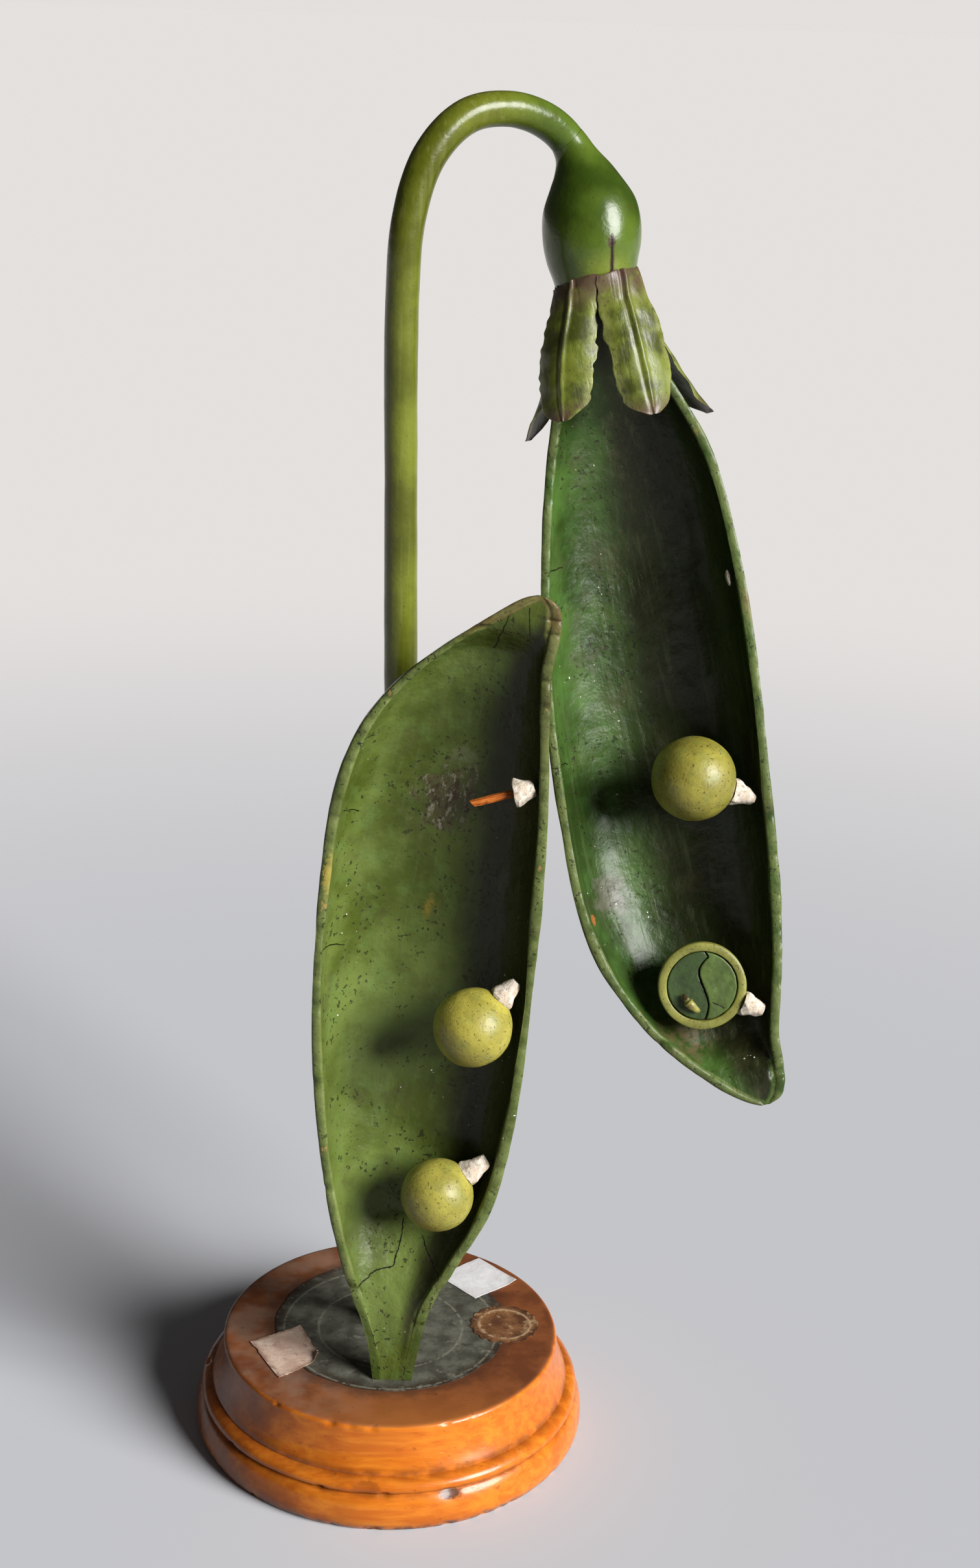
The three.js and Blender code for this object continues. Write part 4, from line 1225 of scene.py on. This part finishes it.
def pod_section(along, bow):
    """Middle, half width and depth of the sections, and the same for their hollow."""
    rows = cubic([p[0] for p in POD], [p[1:] for p in POD], np.minimum(along, POD_LENGTH))
    bent = bow * smoothstep(along, *BOW_RISE) * (1 - smoothstep(along, BOW_FALL, POD_LENGTH))
    back = rows[:, 0] + BOW_BACK * bent
    seed = rows[:, 1] + BOW_SEED * bent
    middle = (back + seed) / 2
    half = (seed - back) / 2
    depth = rows[:, 2]
    fade = 1 - smoothstep(along, *HOLLOW_CLOSES)
    fade = fade * (FOOT_HOLLOW + (1 - FOOT_HOLLOW) * smoothstep(along, *HOLLOW_OPENS))
    inner_half = np.maximum(half - WALL, half * 0.35)
    return middle, half, depth, inner_half, np.maximum(depth - WALL, 0) * fade


def seed_wall(along, bow, deep):
    """Place across the pod of the hollow's wall by the seed seam, at a depth behind the rim."""
    middle, _, _, half, depth = (v[0] for v in pod_section(np.array([float(along)]), bow))
    share = min(deep / depth, 1) ** (1 / ROUNDNESS)
    return middle + half * math.sqrt(1 - share * share)


def lip_points(x0, x1, steps, bulge):
    """Across the rim from one side of the wall to the other, slightly rounded."""
    share = np.linspace(0, 1, steps + 2)[1:-1]
    return x0 + (x1 - x0) * share, -bulge * np.sin(share * math.pi) ** 0.7


def valve_nicks(seed):
    """Where a rim is nicked: place along, width and depth of each nick."""
    rng = np.random.default_rng(seed)
    count = 46
    limits = ((8, 280), (0.5, 1.8), (0.15, 0.85))
    return np.stack([rng.uniform(low, high, count) for low, high in limits], 1)


def valve_grid(along, bow, begin):
    """Rows of points, each over the outer wall, a rim, the hollow's wall and the other rim."""
    middle, half, depth, inner_half, inner_depth = pod_section(along, bow)
    turn = np.linspace(0, math.pi, VALVE_ARC)
    bowl = np.maximum(np.sin(turn), 0) ** ROUNDNESS
    points = np.zeros((len(along), 2 * (VALVE_ARC + VALVE_LIP), 3))
    for r in range(len(along)):
        outer_x = middle[r] + half[r] * np.cos(turn)
        inner_x = middle[r] + inner_half[r] * np.cos(turn[::-1])
        bulge = min(0.5, half[r] * 0.12) * smoothstep(along[r], 4, 55)
        back_x, back_y = lip_points(outer_x[-1], inner_x[0], VALVE_LIP, bulge)
        seed_x, seed_y = lip_points(inner_x[-1], outer_x[0], VALVE_LIP, bulge)
        inner_y = inner_depth[r] * bowl[::-1]
        points[r, :, 0] = np.concatenate([outer_x, back_x, inner_x, seed_x])
        points[r, :, 1] = np.concatenate([depth[r] * bowl, back_y, inner_y, seed_y])
        points[r, :, 2] = along[r] - begin
    return points


def nick_rims(flat, along, middle, rim, seed):
    """Sinks nicks into both rims. All but the seed hold a value for each point."""
    for nick_side, nicks in ((-1, valve_nicks(seed)), (1, valve_nicks(seed + 1))):
        on_side = (flat[:, 0] - middle) * nick_side > 0
        for at, wide, deep in nicks:
            gone = (along - at) / wide
            flat[:, 1] += on_side * rim * deep * np.exp(-gone * gone)


def build_valve(name, pod, look, seed):
    matrix, side, bow, begin = PODS[pod]
    along = POD_LENGTH * np.sin(np.linspace(0, 1, VALVE_ROWS) * math.pi / 2) ** 1.15
    middle, half = pod_section(along, bow)[:2]
    points = valve_grid(along, bow, begin)
    gaps = np.linalg.norm(np.diff(points, axis=1, append=points[:, :1]), axis=2)
    rim = rim_nearness(gaps, VALVE_ARC, VALVE_LIP)
    rim = (rim * (0.3 + 0.7 * smoothstep(along, 6, 50))[:, None]).reshape(-1)
    inside = np.zeros(points.shape[:2])
    inside[:, VALVE_ARC + VALVE_LIP - 1 : 2 * VALVE_ARC + VALVE_LIP + 1] = 1
    seedward = (points[:, :, 0] - middle[:, None]) / half[:, None]
    flat = points.reshape(-1, 3)
    nick_rims(flat, flat[:, 2] + begin, np.repeat(middle, points.shape[1]), rim, seed)
    flat[:, 1] *= side
    if pod == "standing":
        flat = level_foot(flat, matrix)
    faces = sheet_faces(VALVE_ROWS, VALVE_ARC, VALVE_LIP)
    piece = make_piece(name + "_surface", flat, faces, matrix)
    lumps = coords(piece)
    place = lumps[:, 2] + begin
    fade = smoothstep(place, 0, 14) * smoothstep(place, 285, 276)
    push(piece, fade * (noise(lumps, 33, seed) * 0.6 + noise(lumps, 11, seed + 1) * 0.24))
    lumpy(piece, (4.2, 0.07), (2.1, 0.035), seed=seed + 3)
    mark(piece, "rim", rim)
    mark(piece, "inside", inside.reshape(-1))
    mark(piece, "seedward", seedward.reshape(-1))
    keep_edges(piece, 60)
    give(piece, look, "pod_paint", name)


def rim_nearness(gaps, arc, lip):
    """1 on the rims, falling to 0 within about 2 mm along the section."""
    count = gaps.shape[1]
    far = np.full(gaps.shape, 99.0)
    far[:, arc - 1 : arc + lip + 1] = 0
    far[:, 2 * arc + lip - 1 :] = 0
    far[:, 0] = 0
    for k in range(count):
        far[:, k] = np.minimum(far[:, k], far[:, k - 1] + gaps[:, k - 1])
    for k in range(count - 1, -1, -1):
        far[:, k] = np.minimum(far[:, k], far[:, (k + 1) % count] + gaps[:, k])
    return 1 - smoothstep(far, 0.3, 2.4)


def level_foot(points, matrix):
    """Slides the leaning foot's end along the pod, so that it stands flat."""
    turn = np.array(matrix.to_3x3())
    share = np.clip(1 - points[:, 2] / 24, 0, 1)
    drop = (points[:, :2] @ turn[2, :2]) / turn[2, 2]
    moved = points.copy()
    moved[:, 2] -= drop * share
    return moved


# ---- seeds, funicles and pegs ----------------------------------------------------------------


def holder_frame(pod, place, target):
    """A frame whose +Z points from a seed to the seam, and the way's length."""
    matrix = PODS[pod][0]
    way = Vector(target) - Vector(place)
    turn = Vector((0, 0, 1)).rotation_difference(way).to_matrix().to_4x4()
    return matrix @ Matrix.Translation(Vector(place) * MM) @ turn, way.length


def pea_holder(name):
    pod, along, across, radius, reach, deep = PEAS[name]
    _, side, bow, begin = PODS[pod]
    end = along + reach
    target = (seed_wall(end, bow, deep) - SEAM_CLEAR, side * deep, end - begin)
    return (*holder_frame(pod, (across, 0, along - begin), target), radius)


def round_profile(radius, top, steps):
    """A ball's outline from its bottom pole up to where its radius is top."""
    last = math.pi - math.asin(top / radius)
    return ball_profile(radius, np.linspace(0, last, steps))


def ball_profile(radius, angles):
    """A ball's outline at angles counted from its bottom pole."""
    return [(radius * math.sin(a), -radius * math.cos(a)) for a in angles]


def chipped(points, count, seed, bite):
    """Cuts flat facets off a shape, as on chipped plaster."""
    rng = np.random.default_rng(seed)
    middle = points.mean(0)
    for _ in range(count):
        way = rng.normal(size=3)
        way[2] *= 0.5
        way /= np.linalg.norm(way)
        reach = (points - middle) @ way
        over = np.maximum(reach - reach.max() + bite * rng.uniform(0.3, 1), 0)
        points = points - over[:, None] * way
    return points


def build_pea(name, tint, dusty, seed):
    matrix, _, radius = pea_holder(name)
    profile = round_profile(radius, PEG_BORE, 70)
    floor = radius - PEG_IN_PEA - GAP
    profile += [(PEG_BORE, z) for z in np.linspace(profile[-1][1] - 0.4, floor, 8)] + [(0, floor)]
    pea = turned(f"pea_{name}_surface", profile, 110, matrix)
    points = coords(pea)
    skin = smoothstep(np.linalg.norm(points, axis=1), radius - 1.5, radius - 0.2)
    uneven = noise(points, 9, seed) * 0.22 + noise(points, 3, seed + 1) * 0.07
    uneven = uneven + noise(points, 1.3, seed + 2) * 0.03
    push(pea, skin * uneven)
    keep_edges(pea, 60)
    give(pea, pea_look(f"pea_{name}_paint", tint, dusty), "pea_paint", f"pea_{name}")


def build_funicle(name, seed):
    matrix, distance, radius = pea_holder(name)
    seat = radius + GAP
    lip = math.sqrt(seat**2 - FUNICLE_LIP**2)
    seat_ring = math.sqrt(seat**2 - PEG_BORE**2)
    profile = [
        (0, distance - FUNICLE_SOLID),
        (PEG_BORE, distance - FUNICLE_SOLID),
        (PEG_BORE, seat_ring),
        (FUNICLE_LIP, lip),
        (FUNICLE_LIP + 0.2, lip + 1),
        (3.2, lip + (distance - lip) * 0.5),
        (FUNICLE_END, distance),
        (0, distance),
    ]
    shape_funicle(f"funicle_{name}", matrix, profile, seed)


def shape_funicle(name, matrix, profile, seed):
    """A chipped plaster horn from its outline."""
    fine = refined(profile, 0.32)
    points = revolve(fine, 64)
    radius = np.hypot(points[:, 0], points[:, 1])
    outside = smoothstep(radius, PEG_BORE + 0.2, PEG_BORE + 0.7)
    cut = chipped(points, 16, seed, 0.75)
    points = points + (cut - points) * outside[:, None]
    piece = make_piece(name + "_surface", points, loop_faces(len(fine), 64), matrix)
    points = coords(piece)
    outside = smoothstep(np.hypot(points[:, 0], points[:, 1]), PEG_BORE + 0.3, PEG_BORE + 0.9)
    push(piece, outside * (noise(points, 1.5, seed) * 0.14 + noise(points, 0.6, seed + 1) * 0.05))
    keep_edges(piece, 32)
    give(piece, PLASTER, "funicle_plaster", name)


def shape_peg(name, matrix, low, high, seed, bare=0.0):
    """A whittled peg: long flats and a slanting cut at its free end."""
    steps = np.linspace(low, high, 60)
    sides = 28
    angle = full_turn(sides)
    flats = 7
    phase = np.mod(angle + seed, 2 * math.pi / flats) - math.pi / flats
    facet = math.cos(math.pi / flats) / np.cos(phase)
    rings = []
    for z in steps:
        thin = PEG_RADIUS * (0.86 + 0.12 * smoothstep(z, low, low + 5))
        thin += bare * smoothstep(z, -0.6, -1.4)
        wobble = 1 + 0.05 * noise(circle(angle, 2, z), 1.6, seed)
        radius = thin * facet * wobble
        slant = 0.7 * (1 - smoothstep(z, low, low + 3)) * np.cos(angle)
        rings.append(circle(angle, radius, z + slant))
    piece = make_piece(name + "_surface", np.vstack(rings), capped(len(steps), sides), matrix)
    keep_edges(piece, 24)
    give(piece, PEG, "peg_wood", name)


def build_seed_holders():
    for seed, name in enumerate(PEAS):
        matrix, distance, radius = pea_holder(name)
        build_funicle(name, 30 + seed)
        low = radius - (COAT - GAP if name == "cut" else PEG_IN_PEA)
        shape_peg(f"peg_{name}", matrix, low, distance - PEG_SHORT, 40 + seed)


def build_bare_funicle():
    """The funicle whose seed has gone, with its peg standing out."""
    _, side, bow, begin = PODS["standing"]
    wall = seed_wall(BROKEN_END, bow, BROKEN_DEPTH)
    target = (wall - SEAM_CLEAR / 2, side * BROKEN_DEPTH, BROKEN_END - begin)
    place = (BROKEN_ACROSS, side * BROKEN_BEHIND, BROKEN_ALONG - begin)
    matrix, distance = holder_frame("standing", place, target)
    profile = [
        (0, distance - BROKEN_SOLID),
        (PEG_BORE, distance - BROKEN_SOLID),
        (PEG_BORE, 0.6),
        (4.6, -0.6),
        (4.9, 0.6),
        (3.4, distance * 0.55),
        (2.6, distance),
        (0, distance),
    ]
    shape_funicle("funicle_broken", matrix, profile, 50)
    shape_peg("peg_bare", matrix, -BARE_PEG, distance - BARE_PEG_SHORT, 51, bare=0.4)


def build_scar():
    """What is left on the seam of a funicle that broke away whole."""
    _, side, bow, begin = PODS["hanging"]
    across = seed_wall(SCAR_ALONG, bow, SCAR_DEPTH) - SCAR_FROM_WALL
    place = Vector((across, side * SCAR_DEPTH, SCAR_ALONG - begin))
    points = revolve(round_profile(1, 1e-6, 40), 48)
    points = chipped(points, 12, 61, 0.3) * np.array(SCAR_SIZE)
    matrix = PODS["hanging"][0] @ Matrix.Translation(place * MM)
    scar = make_piece("funicle_scar_surface", points, loop_faces(40, 48), matrix)
    lumpy(scar, (1.2, 0.12), (0.5, 0.04), seed=62)
    keep_edges(scar, 32)
    give(scar, PLASTER, "funicle_plaster", "funicle_scar")


def face_frame():
    """Frame of the cut pea's face: +Y looks out of the hollow."""
    _, along, across, _, _, _ = PEAS["cut"]
    matrix, _, _, begin = PODS["hanging"]
    return matrix @ Matrix.Translation(Vector((across, 0, along - begin)) * MM)


def laid_back(points):
    """Turns a body of revolution so that its axis is Y."""
    return points[:, [0, 2, 1]] * np.array([1, 1, -1])


def build_coat(radius):
    """The cut seed's coat: a bowl with a rounded rim and a thin inner line."""
    inner = radius - COAT
    rim = math.acos(-CUT_HEIGHT / radius)
    inner_rim = math.acos(-CUT_HEIGHT / inner)
    outside = ball_profile(radius, np.linspace(0, rim - 0.03, 60))
    r0 = outside[-1][0]
    r1 = inner * math.sin(inner_rim)
    share = np.linspace(0, 1, 14)[1:-1]
    round_edge = [CUT_HEIGHT + 0.2 * math.sin(s * math.pi) - 0.2 * (1 - s) ** 6 for s in share]
    lip = [(r0 + (r1 - r0) * s, z) for s, z in zip(share, round_edge)]
    inside = ball_profile(inner, np.linspace(inner_rim - 0.02, 0, 50))
    profile = outside + lip + inside
    points = laid_back(revolve(profile, 120))
    coat = make_piece("pea_coat_cut_surface", points, loop_faces(len(profile), 120), face_frame())
    lumpy(coat, (7, 0.16), (2.4, 0.06), seed=71)
    keep_edges(coat, 60)
    look = pea_look("pea_cut_coat", rgb(142, 142, 66), 0.2)
    give(coat, look, "pea_paint", "pea_coat_cut")


def kernel_seam():
    """The curving line between the kernel's halves, from the funicle's end downwards."""
    return [(0, -20), (4, -9), *bezier((4, -9), (-6, -4), (6, 3), (-2, 12), 16), (-2, 20)]


def build_kernel(side, radius, sunk, tint):
    """Half of the seed's kernel: a cut half ball, divided along the seam and softened."""
    name = "kernel_left" if side < 0 else "kernel_right"
    ball = radius - COAT - GAP
    height = CUT_HEIGHT - sunk
    rim = math.acos(-height / ball)
    profile = ball_profile(ball, np.linspace(0, rim, 40))
    flat = ball * math.sin(rim)
    profile += [(flat * s, height) for s in np.linspace(1, 0, 20)[1:]]
    points = laid_back(revolve(profile, 96))
    half = make_piece(name + "_surface", points, loop_faces(len(profile), 96))
    outline = [(side * 20, -20), *((x + side * 0.2, z) for x, z in kernel_seam()), (side * 20, 20)]
    count = len(outline)
    prism = np.array([(x, y, z) for y in (-30, 30) for x, z in outline])
    cutter = make_piece("cutter", prism, capped(2, count))
    join = half.modifiers.new("halve", "BOOLEAN")
    join.operation = "INTERSECT"
    join.solver = "EXACT"
    join.object = cutter
    apply_modifiers(half)
    bpy.data.objects.remove(cutter)
    remeshed(half, 0.3, 5)
    half.matrix_world = face_frame()
    lumpy(half, (5, 0.18), (1.8, 0.08), (0.9, 0.03), seed=75 + side)
    give(half, kernel_look(name + "_paint", tint), "kernel_paint", name)


def build_embryo():
    """The small curved embryo: a collared root that lies across the kernel's face."""
    t = np.linspace(0, 1, 44)[:, None]
    a, b, c = (np.array(p, float) for p in ((-2.6, 8), (-5.8, 5), (-6.6, 1.2)))
    line = a * (1 - t) ** 2 + 2 * b * t * (1 - t) + c * t**2
    way = np.gradient(line, axis=0)
    way /= np.linalg.norm(way, axis=1, keepdims=True)
    t = t[:, 0]
    thick = 0.45 + 1.05 * np.sin(t * math.pi) ** 0.7
    thick += 0.25 * np.exp(-(((t - 0.62) / 0.05) ** 2)) - 0.2 * np.exp(-(((t - 0.72) / 0.04) ** 2))
    angle = full_turn(32)
    rings = []
    for k in range(len(t)):
        out = thick[k] * np.cos(angle)
        up = CUT_HEIGHT + 0.1 + thick[k] * 0.8 * (1 + np.sin(angle))
        rings.append(np.stack([line[k, 0] - way[k, 1] * out, up, line[k, 1] + way[k, 0] * out], 1))
    piece = make_piece("embryo_surface", np.vstack(rings), capped(len(rings), 32), face_frame())
    lumpy(piece, (1.6, 0.14), (0.7, 0.05), seed=81)
    give(piece, embryo_look(), "embryo_paint", "embryo")


# ---- calyx -----------------------------------------------------------------------------------


def around_ring(degrees):
    """The ways outwards and sideways at an angle round the ring."""
    turn = degrees * DEG
    out = np.array([math.sin(turn), math.cos(turn), 0])
    return out, np.array([math.cos(turn), -math.sin(turn), 0])


def sepal_line(start, middle, end, share):
    """Points along the bend from the root to the tip."""
    line = start * ((1 - share) ** 2)[:, None] + middle * (2 * share * (1 - share))[:, None]
    return line + end * (share**2)[:, None]


def sepal_edge(a, b, sideways):
    """Rounds a sepal's edge from one of its sides to the other."""
    s = np.linspace(0, 1, SEPAL_LIP + 2)[1:-1, None]
    return a + (b - a) * s + sideways * 0.25 * np.sin(s * math.pi)


def sepal_section(spine, outward, sideways, wide, share, root, seed):
    """Points round a section across a sepal, and their marks: edge, rib, groove and along."""
    across = np.linspace(-1, 1, SEPAL_COLUMNS)
    outer_part = np.abs(across)
    level = np.ones(SEPAL_COLUMNS)
    place = np.stack([across * 3, share * 22 * level, seed * level], 1)
    on_edge = np.stack([np.sign(across) * 40, place[:, 1], place[:, 2]], 1)
    saw = noise(on_edge, 3.4, seed) * 0.1 + noise(on_edge, 0.9, seed + 4) * 0.05
    reach = wide * across * (1 + saw * outer_part**3)
    wave = noise(on_edge, 2.6, seed + 1)
    ruffle = 1.5 * wave * outer_part**2.5 * smoothstep(share, 0.05, 0.3)
    rib = np.exp(-((across / 0.085) ** 2)) * (1 - 0.65 * share)
    groove = np.exp(-(((across + 0.17) / 0.07) ** 2)) * (1 - 0.6 * share)
    veins = np.sin(share * 38 - outer_part * 7) * 0.05 * (1 - across**4)
    lift = -(reach**2) / SEPAL_CURL + ruffle + noise(place, 2.4, seed + 2) * 0.25
    ragged_root = np.outer(noise(place, 1.6, seed + 5) * root**3, (0, 0, -2.0))
    thick = SEPAL_THICK * (1 - 0.4 * outer_part**3) * (1 - 0.3 * share) * (1 - 0.6 * root)
    middle = spine + np.outer(reach, sideways) + ragged_root
    top = middle + np.outer(lift + thick + 1.0 * rib - 0.5 * groove + veins, outward)
    low = middle + np.outer(lift - thick, outward)
    far_edge = sepal_edge(top[-1], low[-1], sideways)
    near_edge = sepal_edge(low[0], top[0], -sideways)
    edge = smoothstep(outer_part, 0.68, 0.98)
    ones = np.ones(SEPAL_LIP)
    edge = np.concatenate([edge, ones, edge[::-1], ones])
    blank = np.zeros(SEPAL_COLUMNS + 2 * SEPAL_LIP)
    marks = [edge, [*rib, *blank], [*groove, *blank], np.full(len(edge), share)]
    return np.vstack([top, far_edge, low[::-1], near_edge]), np.stack(marks, 1)


def build_sepal(name, look, seed):
    """A leathery sepal: midrib, crinkled edges and a tip that turns."""
    angle, facing, tip, swing, width = SEPALS[name]
    root_out, root_side = around_ring(angle)
    face_out, face_side = around_ring(facing)
    start = root_out * SEPAL_ATTACH + np.array([0, 0, GAP])
    end = np.array(tip, float)
    middle = (start + end) / 2 + face_out * swing[1] + np.array([swing[0], 0, 0])
    share = np.linspace(0, 1, SEPAL_ROWS)
    root = 1 - smoothstep(share, 0, 0.2)
    line = sepal_line(start, middle, end, share)
    line = line + np.outer(root, root_out * 1.5 + np.array([0, 0, -0.9]))
    wide = cubic(SEPAL_AT, SEPAL_WIDE, share)[:, 0] * width / 2
    rings = []
    marks = []
    for r in range(SEPAL_ROWS):
        outward = face_out * (1 - root[r]) + root_out * root[r]
        sideways = face_side * (1 - root[r]) + root_side * root[r]
        ring, levels = sepal_section(line[r], outward, sideways, wide[r], share[r], root[r], seed)
        rings.append(ring)
        marks.append(levels)
    faces = sheet_faces(SEPAL_ROWS, SEPAL_COLUMNS, SEPAL_LIP)
    piece = make_piece(name + "_surface", np.vstack(rings), faces, HANGING)
    for k, label in enumerate(("edge", "rib", "groove", "along")):
        mark(piece, label, np.vstack(marks)[:, k])
    keep_edges(piece, 60)
    give(piece, look, "sepal_paint", name)


# ---- assembly --------------------------------------------------------------------------------

build_base()
build_disc()
build_label("old_label", OLD_LABEL, old_label_look(), "old_paper", 1.0, (0.34, 2.2))
build_label("white_label", WHITE_LABEL, white_label_look(), "white_paper", 0.15, (0.3, 0.5))
build_seal()
build_stem()
build_receptacle()

# Painted shadow with some grime in the hollow: where across the hollow it begins, where it is full,
# and how strong it is
STANDING_SHADOW_AND_GRIME = (0.2, 0.6, 0.88)
HANGING_SHADOW_AND_GRIME = (-0.55, 0.05, 0.84)
STANDING_GREENS = (rgb(66, 78, 20), rgb(100, 116, 54))
# The hanging valve's greens are darker than the standing valve's: partly its own darker varnish,
# partly painted shade.
HANGING_GREENS = (rgb(40, 60, 18), rgb(72, 102, 42))
standing_look = pod_look("pod_green_standing", *STANDING_GREENS, standing_marks, 0.8, STANDING_SHADOW_AND_GRIME)
build_valve("standing_valve", "standing", standing_look, 101)
hanging_look = pod_look("pod_green_hanging", *HANGING_GREENS, hanging_marks, 0.35, HANGING_SHADOW_AND_GRIME)
build_valve("hanging_valve", "hanging", hanging_look, 111)

PLASTER = plaster_look()
PEG = peg_look()
build_pea("hanging_upper", rgb(158, 150, 60), 0.8, 121)
build_pea("standing_upper", rgb(178, 168, 70), 0.4, 124)
build_pea("standing_lower", rgb(170, 162, 70), 0.75, 127)
build_seed_holders()
build_bare_funicle()
build_scar()
CUT_RADIUS = PEAS["cut"][3]
build_coat(CUT_RADIUS)
build_kernel(-1, CUT_RADIUS, 0.7, rgb(54, 76, 32))
build_kernel(1, CUT_RADIUS, 0.0, rgb(84, 106, 44))
build_embryo()

SEPAL = sepal_look()
for number, sepal in enumerate(SEPALS):
    build_sepal(sepal, SEPAL, 140 + 5 * number)


# ---- floor, light and camera -----------------------------------------------------------------

# Floor in metres, light and camera in degrees and metres, lens in millimetres
FLOOR_HALF = 200
FLOOR_FADE = (0.35, 1.3)
FLOOR_HELD_BACK = 0.72
WINDOW_FROM = (0.76, -0.53, 0.46)
WINDOW_STRENGTH = 6.0
WINDOW_WIDTH = 32
WINDOW_COLOUR = (1.0, 0.99, 0.98)
SKY_COLOUR = (0.961, 0.926, 0.907)
SKY_LIGHT = 0.045
SKY_SHOWN = 0.8
LENS = 50.58
EYE = (0.029158, -0.689635, 0.486268)
EYE_TILT = 70.73
EYE_ROLL = 2.007


def build_floor():
    """A pale floor that brightens away from the base and gives back little light."""
    half = FLOOR_HALF
    corners = [(-half, -half, 0), (half, -half, 0), (half, half, 0), (-half, half, 0)]
    mesh = bpy.data.meshes.new("floor")
    mesh.from_pydata(corners, [], [(0, 1, 2, 3)])
    floor = bpy.data.objects.new("floor", mesh)
    bpy.context.scene.collection.objects.link(floor)
    look = Look("floor_pale", specular=0.0)
    away = look.step(look.vector("LENGTH", look.place), *FLOOR_FADE)
    look.colour = look.mix(away, rgb(206, 208, 213), rgb(240, 237, 236))
    bounced = look.add("ShaderNodeLightPath").outputs["Is Diffuse Ray"]
    look.lay(bounced, rgb(0, 0, 0), FLOOR_HELD_BACK)
    look.done(0.95)
    settle(floor)
    mesh.materials.append(look.material)


def add_window(towards, strength, spread, colour):
    """A soft distant light, as wide as a window, that shines from a direction."""
    light = bpy.data.lights.new("window", "SUN")
    light.energy = strength
    light.angle = spread * DEG
    light.color = colour
    lamp = bpy.data.objects.new("window", light)
    lamp.rotation_euler = Vector(towards).to_track_quat("Z", "Y").to_euler()
    bpy.context.scene.collection.objects.link(lamp)


def add_world(colour, strength, shown):
    """An even sky: strength is the light that it gives, shown its brightness in the view."""
    world = bpy.data.worlds.new("studio")
    world.use_nodes = True
    sky = world.node_tree.nodes["Background"]
    sky.inputs["Color"].default_value = (*colour, 1)
    seen = world.node_tree.nodes.new("ShaderNodeLightPath").outputs["Is Camera Ray"]
    level = world.node_tree.nodes.new("ShaderNodeMapRange")
    level.inputs["To Min"].default_value = strength
    level.inputs["To Max"].default_value = shown
    world.node_tree.links.new(seen, level.inputs["Value"])
    world.node_tree.links.new(level.outputs[0], sky.inputs["Strength"])
    bpy.context.scene.world = world


def add_camera():
    """The photograph's view: from in front, just above the stem's arch and looking down."""
    camera = bpy.data.cameras.new("camera")
    camera.sensor_width = 36
    camera.lens = LENS
    eye = bpy.data.objects.new("camera", camera)
    eye.location = EYE
    turn = Matrix.Rotation(EYE_TILT * DEG, 4, "X") @ Matrix.Rotation(EYE_ROLL * DEG, 4, "Z")
    eye.rotation_euler = turn.to_euler()
    bpy.context.scene.collection.objects.link(eye)
    bpy.context.scene.camera = eye


build_floor()
add_window(WINDOW_FROM, WINDOW_STRENGTH, WINDOW_WIDTH, WINDOW_COLOUR)
add_world(SKY_COLOUR, SKY_LIGHT, SKY_SHOWN)
add_camera()
bpy.context.scene.view_settings.view_transform = "Standard"
